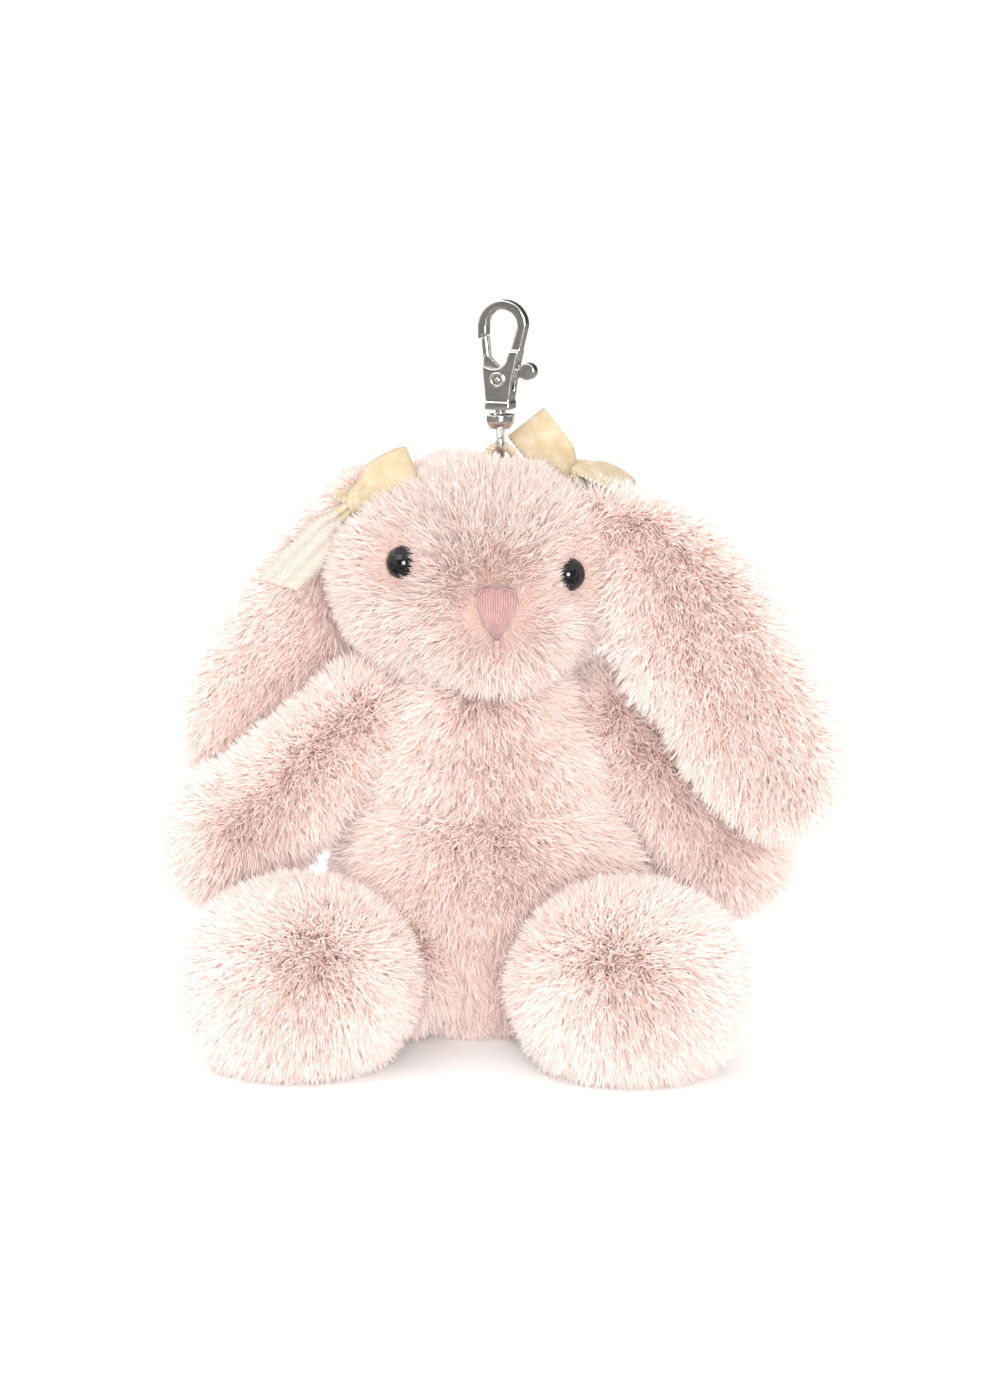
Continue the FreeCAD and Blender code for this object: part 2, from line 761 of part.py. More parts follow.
def make_hook_body():
    """Cast hook: flat cheeks below, a rounded crown above, a slotted middle and a bored base."""
    body = doc.addObject("PartDesign::Body", "hook_casting")
    outline = sketch_on(body, "hook_front", "XZ_Plane")
    add_outline(outline, hook_outline())
    extruded(body, "Pad", outline, "Sizes.hook_thick")
    cheeks = sketch_on(body, "hook_cheeks", "XZ_Plane")
    add_outline(cheeks, cheek_outline())
    extruded(body, "Pad", cheeks, "Sizes.cheek_thick")
    base = sketch_on(body, "hook_base", "XY_Plane")
    half = size("base_side") / 2 + 0.15
    deep = size("base_side") / 2
    add_outline(base, polygon([(-half, -deep), (half, -deep), (half, deep), (-half, deep)]))
    extruded(body, "Pad", base, "Sizes.base_tall + 0.01", both_ways=False)
    doc.recompute()
    slot = solid("Box", "hook_slot", Length="14", Width="Sizes.slot_width")
    slot.setExpression("Height", "Sizes.slot_roof - Sizes.slot_floor")
    slot.setExpression("Placement.Base.x", "-7")
    slot.setExpression("Placement.Base.y", "-Sizes.slot_width / 2")
    slot.setExpression("Placement.Base.z", "Sizes.slot_floor")
    rivet_bore = cross_rod("hook_rivet_bore", "Sizes.rivet_radius + Sizes.seat_gap", "12")
    post_bore = upright_rod("hook_post_bore", "Sizes.post_radius + Sizes.running_gap", "0 - 1", "6")
    chamber = upright_rod("hook_post_chamber", "Sizes.post_head + 0.1", "Sizes.base_tall", "2.2")
    hook = cut("hook_body", body, slot, rivet_bore, post_bore, chamber)
    hook.Placement = hook_placement()
    node(hook, "hook_body")


def cross_rod(name, radius, length):
    """A rod on the rivet's axis, front to back, centred on the hook."""
    rod = solid("Cylinder", name, Radius=radius, Height=length)
    rod.Placement.Rotation = FreeCAD.Rotation(Vector(1, 0, 0), -90)
    rod.setExpression("Placement.Base.y", f"-({length}) / 2")
    rod.setExpression("Placement.Base.z", "Sizes.rivet_height")
    return rod


def upright_rod(name, radius, foot, length):
    rod = solid("Cylinder", name, Radius=radius, Height=length)
    rod.setExpression("Placement.Base.z", foot)
    return rod


def make_gate_rivet():
    """A hollow rivet with a rolled flange on each cheek."""
    over_cheeks = "Sizes.cheek_thick + 2 * Sizes.rivet_flange_thick"
    tube = cross_rod("rivet_tube", "Sizes.rivet_radius", over_cheeks)
    flanges = cross_rod("rivet_flanges", "Sizes.rivet_flange", over_cheeks)
    between = cross_rod("rivet_between", "Sizes.rivet_flange + 1", "Sizes.cheek_thick + 2 * Sizes.seat_gap")
    eyelet = cross_rod("rivet_hole", "Sizes.rivet_hole", "12")
    rims = cut("rivet_rims", flanges, between)
    rivet = cut("gate_rivet", fuse("rivet_solid", [tube, rims]), eyelet)
    rivet.Placement = hook_placement()
    node(rivet, "gate_rivet")


def make_gate_lever():
    """One lever: the gate bar that meets the hook's tip, and the thumb tab on the other side."""
    rivet = size("rivet_height")
    plate_body = doc.addObject("PartDesign::Body", "lever_plate")
    plate = sketch_on(plate_body, "lever_outline", "XZ_Plane")
    corners = [(-3.2, rivet + 4.6), (-3.3, rivet + 2.6), (-1.2, rivet - 1.4), (1.2, rivet - 1.4)]
    corners += [(4.9, rivet + 0.9), (5.1, rivet + 2.4), (0.6, rivet + 1.9), (-1.9, rivet + 4.4)]
    add_outline(plate, polygon(corners))
    extruded(plate_body, "Pad", plate, "Sizes.lever_thick")
    plate_body.Placement.Base = Vector(0, -0.35, 0)
    hub = cross_rod("lever_hub_disc", "Sizes.lever_hub", "Sizes.lever_thick")
    hub.setExpression("Placement.Base.y", "-0.35 - Sizes.lever_thick / 2")
    bar_foot, bar_tip = Vector(-2.55, 0, 9.0), Vector(-3.2, 0, 15.5)
    bar = taper_rod("gate_bar", bar_foot, bar_tip, "Sizes.gate_bar", "Sizes.gate_bar")
    reach = cross_rod("gate_reach", "Sizes.gate_sweep", "6")
    trimmed = common("gate_bar_trimmed", bar, reach)
    thumb = cross_rod("thumb_tab", "Sizes.thumb_radius", "Sizes.thumb_thick")
    thumb.setExpression("Placement.Base.z", "Sizes.rivet_height + 1.7")
    thumb.setExpression("Placement.Base.x", "5.7")
    bore = cross_rod("lever_bore", "Sizes.rivet_radius + Sizes.running_gap", "12")
    lever = cut("gate_lever", fuse("lever_solid", [plate_body, hub, trimmed, thumb]), bore)
    lever.Placement = hook_placement()
    node(lever, "gate_lever")


def make_gate_spring():
    """A small torsion coil on the rivet, beside the lever, that holds the gate shut."""
    turns, wire = size("spring_turns"), size("spring_wire")
    pitch = wire * 2.3
    helix = doc.addObject("Part::Helix", "spring_path")
    helix.setExpression("Radius", "Sizes.spring_coil")
    helix.Pitch = pitch
    helix.Height = pitch * turns
    section = doc.addObject("Part::Circle", "spring_section")
    section.setExpression("Radius", "Sizes.spring_wire")
    section.Placement = axis_placement(Vector(size("spring_coil"), 0, 0), Vector(0, 1, 0))
    coil = doc.addObject("Part::Sweep", "gate_spring")
    coil.Sections = [section]
    coil.Spine = (helix, ["Edge1"])
    coil.Solid = True
    coil.Frenet = True
    seat = FreeCAD.Placement(
        Vector(0, 0.3, size("rivet_height")), FreeCAD.Rotation(Vector(1, 0, 0), -90)
    )
    coil.Placement = hook_placement() * seat
    node(coil, "gate_spring")


def make_swivel_eye():
    """Post, barrel and ring in one casting; the post's head is trapped above the hook's base."""
    height = "Sizes.swivel_neck + Sizes.base_tall + 0.3"
    post = upright_rod("swivel_post", "Sizes.post_radius", "-Sizes.swivel_neck - 0.2", height + " + 0.2")
    above_base = "Sizes.base_tall + 0.15"
    head = upright_rod("swivel_post_head", "Sizes.post_head", above_base, "Sizes.post_head_thick")
    barrel_top = "-Sizes.swivel_neck - Sizes.barrel_straight"
    barrel = upright_rod("swivel_barrel", "Sizes.barrel_radius", barrel_top, "Sizes.barrel_straight")
    taper = solid("Cone", "swivel_taper", Radius1="Sizes.barrel_foot", Radius2="Sizes.barrel_radius")
    taper.setExpression("Height", "Sizes.barrel_taper")
    taper.setExpression("Placement.Base.z", f"{barrel_top} - Sizes.barrel_taper")
    ring = solid("Torus", "swivel_ring", Radius1="Sizes.ring_radius", Radius2="Sizes.ring_wire")
    ring.Placement.Rotation = FreeCAD.Rotation(Vector(0, 1, 0), 90)
    ring.Placement.Base = Vector(0, 0, -6.4)
    eye = fuse("swivel_eye", [post, head, barrel, taper, ring])
    eye.Placement = FreeCAD.Placement(point("clasp"), FreeCAD.Rotation())
    node(eye, "swivel_eye")


def check_model():
    """Every object recomputed, and every sub-part one sound closed shape."""
    failed = [item.Label for item in doc.Objects if {"Invalid", "Error"} & set(item.State)]
    if failed:
        raise RuntimeError(f"failed features: {failed}")
    for item in nodes:
        shape = item.Shape
        if shape.isNull() or not shape.isValid() or not shape.Solids:
            raise RuntimeError(f"{item.Label} is not a valid solid")


def main():
    fill_sheet()
    make_torso()
    make_tail()
    head = make_head()
    for side in ("left", "right"):
        make_ear(side)
        make_arm(side)
        make_leg(side)
    make_bows(head)
    make_hanging_loop(head)
    make_hook_body()
    make_gate_rivet()
    make_gate_lever()
    make_gate_spring()
    make_swivel_eye()
    doc.recompute()
    check_model()
    os.makedirs("parts", exist_ok=True)
    for item in nodes:
        item.Shape.exportStep(f"parts/{item.Label}.step")


main()
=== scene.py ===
"""Looks for a small seated plush bunny on a swivel snap hook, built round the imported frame."""

import json
import math

import bmesh
import bpy
from bpy.props import FloatProperty, FloatVectorProperty, PointerProperty
from mathutils import Matrix, Vector
from mathutils.bvhtree import BVHTree


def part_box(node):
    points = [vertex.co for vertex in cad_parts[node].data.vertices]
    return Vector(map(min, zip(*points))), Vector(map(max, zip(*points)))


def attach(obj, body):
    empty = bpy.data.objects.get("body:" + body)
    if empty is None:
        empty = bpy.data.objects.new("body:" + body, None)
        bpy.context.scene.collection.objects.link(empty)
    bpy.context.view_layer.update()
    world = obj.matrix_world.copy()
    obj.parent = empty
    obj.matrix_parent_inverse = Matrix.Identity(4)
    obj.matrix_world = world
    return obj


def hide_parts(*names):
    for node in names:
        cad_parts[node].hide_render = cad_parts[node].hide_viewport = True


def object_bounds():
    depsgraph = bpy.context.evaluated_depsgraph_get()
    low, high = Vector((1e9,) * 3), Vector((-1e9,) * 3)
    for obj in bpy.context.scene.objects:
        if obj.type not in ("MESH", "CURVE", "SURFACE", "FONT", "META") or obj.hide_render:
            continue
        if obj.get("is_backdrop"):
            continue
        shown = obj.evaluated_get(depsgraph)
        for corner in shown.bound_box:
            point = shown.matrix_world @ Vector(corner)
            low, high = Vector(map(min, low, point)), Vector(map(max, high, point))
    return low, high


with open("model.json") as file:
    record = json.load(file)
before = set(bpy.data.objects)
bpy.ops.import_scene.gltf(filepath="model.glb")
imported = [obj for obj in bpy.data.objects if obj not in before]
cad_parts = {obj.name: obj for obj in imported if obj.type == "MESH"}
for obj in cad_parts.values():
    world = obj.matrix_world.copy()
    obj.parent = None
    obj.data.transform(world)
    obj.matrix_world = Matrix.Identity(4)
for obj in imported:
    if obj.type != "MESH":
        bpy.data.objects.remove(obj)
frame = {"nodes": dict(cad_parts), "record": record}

CAD_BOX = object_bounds()
MM = 0.001
DOWN = Vector((0, 0, -1))
CLOTH_GRID = 0.85 * MM
HOOK_TURN = math.radians(18.0)
# Both ribbons lie on the pile, a little outside the place of their solids.
LEFT_BOW_SHIFT = Vector((3.0, -1.2, 1.4)) * MM
SIDE_LOOP_SHIFT = Vector((0.6, -3.4, 3.2)) * MM

bl_info = {
    "name": "Plush bunny keychain",
    "version": (1, 0, 0),
    "blender": (4, 5, 0),
    "location": "View3D > Sidebar > Plush Bunny",
    "description": "Grows the plush, ribbons, stitching and metal finish over the keychain's frame",
    "category": "Object",
}

PIVOTS = {joint["name"]: Vector(joint["pos_m"]) for joint in frame["record"]["behaviour"]["joints"]}


# ---------------------------------------------------------------- settings
def colour_setting(name, description, default):
    return FloatVectorProperty(
        name=name, description=description, default=default, subtype="COLOR", size=3, min=0.0, max=1.0
    )


def length_setting(name, description, default):
    return FloatProperty(name=name, description=description, default=default, unit="LENGTH", min=0.0)


class PlushSettings(bpy.types.PropertyGroup):
    pile_length: length_setting("Pile length", "Length of a fibre from the cloth to its tip", 6.0 * MM)
    fibre_width: length_setting("Fibre width", "Width of a fibre at its foot", 0.145 * MM)
    fibre_count: FloatProperty(name="Fibres", description="Fibres per square millimetre", default=19.8)
    tuft_size: length_setting("Tuft size", "Distance between the tufts that fibres gather in", 1.9 * MM)
    lean: FloatProperty(name="Lean", description="How far the pile is combed over", default=0.5)
    # painted shade: the root colour is a deeper salmon that stands in for the shade deep in the pile
    root_colour: colour_setting("Root colour", "Pile colour at the cloth", (1.0, 0.81, 0.74))
    body_colour: colour_setting("Body colour", "Pile tips on body, ears and limbs", (0.965, 0.865, 0.83))
    # painted shade: the face tips are a darker copy of the body's, to even out the stronger light on the head
    face_colour: colour_setting("Face colour", "Pile tips on the head", (0.875, 0.78, 0.745))


class TrimSettings(bpy.types.PropertyGroup):
    velvet_colour: colour_setting("Velvet", "Velvet side of the ribbon", (0.45, 0.38, 0.275))
    satin_colour: colour_setting("Satin", "Satin back of the ribbon", (0.38, 0.325, 0.27))
    ribbon_width: length_setting("Ribbon width", "Width between the picot edges", 9.0 * MM)
    ribbon_thickness: length_setting("Ribbon thickness", "Velvet and satin together", 0.55 * MM)
    nose_colour: colour_setting("Nose thread", "Satin stitches of nose and mouth", (0.44, 0.26, 0.25))
    stitch_pitch: length_setting("Stitch pitch", "Distance between two stitches of the nose", 0.5 * MM)
    nickel_colour: colour_setting("Nickel", "Plating of the snap hook", (0.74, 0.70, 0.66))
    nickel_roughness: FloatProperty(name="Polish", description="Roughness of the plating", default=0.12)
    casting_grain: length_setting("Casting grain", "Voxel size that rounds the castings", 0.11 * MM)


class StudioSettings(bpy.types.PropertyGroup):
    distance: length_setting("Camera distance", "From the camera to the bunny's middle", 0.68)
    elevation: FloatProperty(
        name="Camera elevation", description="Above the horizon", default=math.radians(11.0), subtype="ANGLE"
    )
    frame_height: length_setting("Frame height", "Height of what the camera sees at the bunny", 0.280)
    key_power: FloatProperty(name="Key light", description="Power of the large soft light", default=2.0)
    fill: FloatProperty(name="Fill", description="Strength of the light from all round", default=1.06)


# ---------------------------------------------------------------- node helpers
def feed(tree, value, socket):
    """A socket's value, or a link into it."""
    if isinstance(value, bpy.types.NodeSocket):
        tree.links.new(value, socket)
    else:
        socket.default_value = value


def add_node(tree, kind, values=(), **settings):
    item = tree.nodes.new(kind)
    for name, value in settings.items():
        setattr(item, name, value)
    for key, value in dict(values).items():
        feed(tree, value, item.inputs[key])
    return item


def maths(tree, operation, *values):
    return add_node(tree, "ShaderNodeMath", dict(enumerate(values)), operation=operation).outputs[0]


def vectors(tree, operation, *values, scale=None):
    sockets = dict(enumerate(values))
    if scale is not None:
        sockets["Scale"] = scale
    return add_node(tree, "ShaderNodeVectorMath", sockets, operation=operation).outputs[0]


def split(tree, vector):
    return add_node(tree, "ShaderNodeSeparateXYZ", {0: vector}).outputs


def joined(tree, *values):
    return add_node(tree, "ShaderNodeCombineXYZ", dict(enumerate(values))).outputs[0]


# ---------------------------------------------------------------- shader helpers
def new_material(name, **principled):
    """A principled material whose plain values stand on the shader's own sockets."""
    material = bpy.data.materials.new(name)
    material.use_nodes = True
    shader = material.node_tree.nodes["Principled BSDF"]
    for socket, value in principled.items():
        shader.inputs[socket.replace("_", " ")].default_value = value
    return material, material.node_tree, shader


def ramp(tree, factor, *stops):
    """Colours along a factor from 0 to 1."""
    item = add_node(tree, "ShaderNodeValToRGB", {0: factor})
    elements = item.color_ramp.elements
    while len(elements) < len(stops):
        elements.new(0.5)
    for element, (position, colour) in zip(elements, stops):
        element.position = position
        element.color = (*colour, 1.0)
    return item.outputs[0]


def blended(tree, factor, one, other, blend="MIX"):
    item = add_node(tree, "ShaderNodeMix", {0: factor}, data_type="RGBA", blend_type=blend)
    for value, socket in ((one, item.inputs[6]), (other, item.inputs[7])):
        feed(tree, (*value, 1.0) if isinstance(value, tuple) else value, socket)
    return item.outputs[2]


def object_place(tree, stretch=(1.0, 1.0, 1.0)):
    place = add_node(tree, "ShaderNodeTexCoord").outputs["Object"]
    return add_node(tree, "ShaderNodeMapping", {"Vector": place, "Scale": stretch}).outputs[0]


def noise(tree, place, size, detail=2.0, roughness=0.5):
    """Noise whose blotches are about as large as the size given."""
    values = {"Vector": place, "Scale": 1.0 / size, "Detail": detail, "Roughness": roughness}
    return add_node(tree, "ShaderNodeTexNoise", values).outputs[0]


def map_of(tree, name):
    """U and V of a piece's own map."""
    return split(tree, add_node(tree, "ShaderNodeUVMap", uv_map=name).outputs[0])


def paint(tree, shader, colour):
    tree.links.new(colour, shader.inputs["Base Color"])


def relief(tree, shader, height, depth, strength=1.0):
    bump = add_node(tree, "ShaderNodeBump", {"Height": height, "Distance": depth, "Strength": strength})
    tree.links.new(bump.outputs[0], shader.inputs["Normal"])


def mixed(one, other, share):
    return tuple(a + (b - a) * share for a, b in zip(one, other))


def plush_material(name, root, tip):
    """Fibre colour from its own map: U is the fibre's tint, V runs from the cloth to the tip. The deeper salmon at
    the root is painted shade deep in the pile, and the whitened tips are painted light on its outside.
    """
    material, tree, shader = new_material(name, Roughness=0.85, Specular_IOR_Level=0.1)
    tint, along, _ = map_of(tree, "OFBake")
    # painted shade: the root end of both ramps is deeper salmon where the pile shades itself; painted light: the
    # tips whiten towards white
    whitened_tip, warm = mixed(tip, (1, 1, 1), 0.25), mixed(root, (0.8, 0.35, 0.27), 0.12)
    pale = ramp(tree, along, (0.0, root), (0.25, mixed(root, tip, 0.55)), (0.6, tip), (1.0, whitened_tip))
    deep = ramp(tree, along, (0.0, warm), (0.4, mixed(root, tip, 0.4)), (1.0, mixed(root, tip, 0.8)))
    colour = blended(tree, tint, pale, deep)
    paint(tree, shader, colour)
    glow = add_node(tree, "ShaderNodeBsdfTranslucent", {"Color": colour})
    both = add_node(tree, "ShaderNodeMixShader", {0: 0.5, 1: shader.outputs[0], 2: glow.outputs[0]})
    tree.links.new(both.outputs[0], tree.nodes["Material Output"].inputs["Surface"])
    return material


def velvet_material(colour):
    """Crushed velvet: short pile that catches light at its edges, laid in soft patches that are painted lighter as
    sheen and darker as shade.
    """
    material, tree, shader = new_material(
        "Velvet", Roughness=0.85, Specular_IOR_Level=0.1, Sheen_Weight=0.35, Sheen_Roughness=0.4
    )
    place = object_place(tree)
    # painted sheen and shade: crushed patches whiten towards white and darken towards brown
    patches = ramp(
        tree,
        noise(tree, place, 3.0 * MM, 3.0),
        (0.3, mixed(colour, (0.30, 0.18, 0.06), 0.35)),
        (0.55, colour),
        (0.75, mixed(colour, (1, 1, 1), 0.16)),
    )
    grain = noise(tree, place, 0.16 * MM, 2.0)
    dusted = blended(tree, maths(tree, "MULTIPLY", grain, 0.35), patches, (0.62, 0.44, 0.22))
    paint(tree, shader, dusted)
    relief(tree, shader, grain, 0.10 * MM, 0.6)
    return material


def satin_material(colour):
    """Ribbed satin back: fine cords run across the ribbon, with painted shade in their grooves and painted
    highlights on their crests.
    """
    material, tree, shader = new_material(
        "Satin", Roughness=0.38, Specular_IOR_Level=0.5, Sheen_Weight=0.2, Anisotropic=0.4
    )
    _, along, _ = map_of(tree, "weave")
    ribs = maths(tree, "SINE", maths(tree, "MULTIPLY", along, 2 * math.pi / 0.42))
    ribs = maths(tree, "MULTIPLY_ADD", ribs, 0.5, 0.5)
    slub = noise(tree, object_place(tree), 1.2 * MM, 3.0)
    shade = maths(tree, "MULTIPLY_ADD", ribs, 0.5, maths(tree, "MULTIPLY", slub, 0.5))
    # painted shade: grooves darken towards brown; painted highlight: crests whiten
    shaded_grooves, lit_crests = mixed(colour, (0.5, 0.36, 0.2), 0.3), mixed(colour, (1, 1, 1), 0.5)
    cloth = ramp(tree, shade, (0.15, shaded_grooves), (0.5, colour), (0.9, lit_crests))
    paint(tree, shader, cloth)
    relief(tree, shader, ribs, 0.06 * MM, 0.7)
    return material


def thread_material(name, colour, stitched=False):
    """Stranded thread with a fine twist along it: painted highlights on the ply, and painted shade between plies
    and in the gaps between stitches.
    """
    material, tree, shader = new_material(name, Roughness=0.5, Specular_IOR_Level=0.4, Sheen_Weight=0.3)
    place = object_place(tree, (1.0, 1.0, 0.15))
    ply = noise(tree, place, 0.12 * MM, 2.0)
    # a broad random mottle that also moves the painted highlight and shade
    mottle = noise(tree, object_place(tree), 1.5 * MM, 2.0)
    shade = maths(tree, "MULTIPLY_ADD", ply, 0.6, maths(tree, "MULTIPLY", mottle, 0.4))
    if stitched:
        across, _, _ = map_of(tree, "weave")
        # painted shade in the gaps between stitches
        gap = maths(tree, "ABSOLUTE", maths(tree, "COSINE", maths(tree, "MULTIPLY", across, math.pi)))
        shade = maths(tree, "SUBTRACT", shade, maths(tree, "MULTIPLY", maths(tree, "POWER", gap, 4.0), 0.35))
    # painted shade at the dark end of the ramp, painted highlight at the light end
    stops = ((0.1, mixed(colour, (0.12, 0.03, 0.03), 0.5)), (0.3, mixed(colour, (0.15, 0.05, 0.05), 0.25)))
    cloth = ramp(tree, shade, *stops, (0.5, colour), (0.75, mixed(colour, (1, 1, 1), 0.3)))
    paint(tree, shader, cloth)
    relief(tree, shader, ply, 0.05 * MM, 0.6)
    return material


def nickel_material(name, colour, roughness):
    """Bright plating with a soft polish pattern and hairline handling marks."""
    material, tree, shader = new_material(name, Metallic=1.0)
    cloudy = noise(tree, object_place(tree), 2.5 * MM, 3.0)
    hairs = noise(tree, object_place(tree, (6.0, 6.0, 0.4)), 0.6 * MM, 2.0)
    tone = ramp(tree, cloudy, (0.3, mixed(colour, (0.5, 0.47, 0.44), 0.25)), (0.7, colour))
    paint(tree, shader, tone)
    spread = maths(tree, "MULTIPLY_ADD", hairs, 0.10, roughness - 0.04)
    tree.links.new(maths(tree, "MULTIPLY_ADD", cloudy, 0.06, spread), shader.inputs["Roughness"])
    relief(tree, shader, maths(tree, "MULTIPLY_ADD", hairs, 0.12, cloudy), 0.05 * MM, 0.8)
    return material


def eye_material():
    """Black glossy plastic dome with a trace of dust in its polish."""
    material, tree, shader = new_material("Eye dome", Specular_IOR_Level=0.45)
    dust = noise(tree, object_place(tree), 0.5 * MM, 4.0)
    black = ramp(tree, dust, (0.4, (0.004, 0.004, 0.005)), (0.8, (0.02, 0.018, 0.018)))
    paint(tree, shader, black)
    tree.links.new(maths(tree, "MULTIPLY_ADD", dust, 0.06, 0.02), shader.inputs["Roughness"])
    return material


def cloth_material(name, colour, weave):
    """Plain woven or matted cloth for the parts inside."""
    material, tree, shader = new_material(name, Roughness=0.9, Sheen_Weight=0.3)
    threads = noise(tree, object_place(tree), weave, 3.0)
    cloth = ramp(tree, threads, (0.3, mixed(colour, (0, 0, 0), 0.25)), (0.7, colour))
    paint(tree, shader, cloth)
    relief(tree, shader, threads, 0.1 * MM, 0.6)
    return material


# ---------------------------------------------------------------- mesh helpers
def as_object(name, mesh, *materials):
    item = bpy.data.objects.new(name, mesh)
    bpy.context.scene.collection.objects.link(item)
    for material in materials:
        mesh.materials.append(material)
    return item


def mesh_from(bm, name, smooth=True):
    mesh = bpy.data.meshes.new(name)
    bm.to_mesh(mesh)
    bm.free()
    if smooth:
        mesh.shade_smooth()
    return mesh


def applied(item):
    """The object's mesh with its modifiers applied, in place of the object's own."""
    bpy.context.view_layer.update()
    graph = bpy.context.evaluated_depsgraph_get()
    finished = bpy.data.meshes.new_from_object(item.evaluated_get(graph))
    item.modifiers.clear()
    old = item.data
    item.data = finished
    bpy.data.meshes.remove(old)
    return item


def casting_copy(node_name):
    """A merged copy of a frame mesh."""
    bm = bmesh.new()
    bm.from_mesh(frame["nodes"][node_name].data)
    bmesh.ops.remove_doubles(bm, verts=bm.verts, dist=0.001 * MM)
    return bm


def surface_of(node_name):
    """A frame mesh to cast rays at."""
    source = frame["nodes"][node_name].data
    source.calc_loop_triangles()
    corners = [vert.co.copy() for vert in source.vertices]
    return BVHTree.FromPolygons(corners, [tuple(t.vertices) for t in source.loop_triangles])


def own_edges(ring):
    """The edges that join a ring's own points."""
    near = dict.fromkeys(edge for vert in ring for edge in vert.link_edges)
    return [edge for edge in near if all(vert in ring for vert in edge.verts)]


def islands(bm):
    """Connected groups of faces."""
    left = set(bm.faces)
    while left:
        group, edge = set(), [left.pop()]
        while edge:
            face = edge.pop()
            group.add(face)
            for side in face.edges:
                for beyond in side.link_faces:
                    if beyond in left:
                        left.discard(beyond)
                        edge.append(beyond)
        yield group


def outer_shell(node_name):
    """Only the outside of a sewn skin, closed over the small holes for the eyes."""
    bm = casting_copy(node_name)
    low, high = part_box(node_name)
    middle = (Vector(low) + Vector(high)) / 2
    groups = list(islands(bm))
    if len(groups) > 1:
        outside = max(groups, key=lambda faces: max(v.co.x for f in faces for v in f.verts))
        lining = [face for group in groups if group is not outside for face in group]
    else:
        lining = [f for f in bm.faces if (f.calc_center_median() - middle).dot(f.normal) < 0]
    bmesh.ops.delete(bm, geom=lining, context="FACES")
    bmesh.ops.holes_fill(bm, edges=[e for e in bm.edges if e.is_boundary], sides=0)
    return bm


def remeshed(bm, name, voxel, soften):
    """Even quads over the same form, with its sharp edges eased."""
    item = as_object(name, mesh_from(bm, name))
    modifier = item.modifiers.new("Even mesh", "REMESH")
    modifier.mode = "VOXEL"
    modifier.voxel_size = voxel
    applied(item)
    bm = bmesh.new()
    bm.from_mesh(item.data)
    for _ in range(soften):
        axes = {f"use_axis_{axis}": True for axis in "xyz"}
        bmesh.ops.smooth_vert(bm, verts=bm.verts, factor=0.5, **axes)
    bm.to_mesh(item.data)
    bm.free()
    item.data.shade_smooth()
    return item


def finish_piece(item, body, slot_name, *nodes):
    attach(item, body)
    if nodes:
        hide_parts(*nodes)
    return item


# ---------------------------------------------------------------- plush
def fibre(width):
    """One flat fibre of unit height: a bent sliver that runs to a point."""
    bm = bmesh.new()
    bmesh.ops.create_grid(bm, x_segments=1, y_segments=1, size=0.5)
    foot, other_foot, tip, elbow = (0.0, -0.5, 0.0), (0.0, 0.5, 0.0), (0.26, 0.1, 1.0), (0.05, -0.42, 0.5)
    spots = {(-1, -1): foot, (1, -1): other_foot, (1, 1): tip, (-1, 1): elbow}
    for vert in bm.verts:
        vert.co = spots[round(vert.co.x * 2), round(vert.co.y * 2)]
    mesh = mesh_from(bm, "Fibre", smooth=False)
    places = {"along": [v.co.z for v in mesh.vertices], "across": [v.co.y for v in mesh.vertices]}
    for name in places:
        mesh.attributes.new(name, "FLOAT", "POINT")
    for name, values in places.items():
        mesh.attributes[name].data.foreach_set("value", values)
    for vert in mesh.vertices:
        vert.co.y *= width
    return as_object("Fibre", mesh)


def named_field(tree, name, kind="FLOAT"):
    item = add_node(tree, "GeometryNodeInputNamedAttribute", {"Name": name}, data_type=kind)
    return next(socket for socket in item.outputs if socket.enabled)


def random_field(tree, seed, low, high, kind="FLOAT"):
    item = add_node(tree, "FunctionNodeRandomValue", {"Seed": seed}, data_type=kind)
    first = 0 if kind == "FLOAT_VECTOR" else 2
    item.inputs[first].default_value = low
    item.inputs[first + 1].default_value = high
    return item.outputs[0 if kind == "FLOAT_VECTOR" else 1]


def stored(tree, geometry, name, value, kind, domain):
    values = {"Geometry": geometry, "Name": name, "Value": value}
    return add_node(tree, "GeometryNodeStoreNamedAttribute", values, data_type=kind, domain=domain).outputs[0]


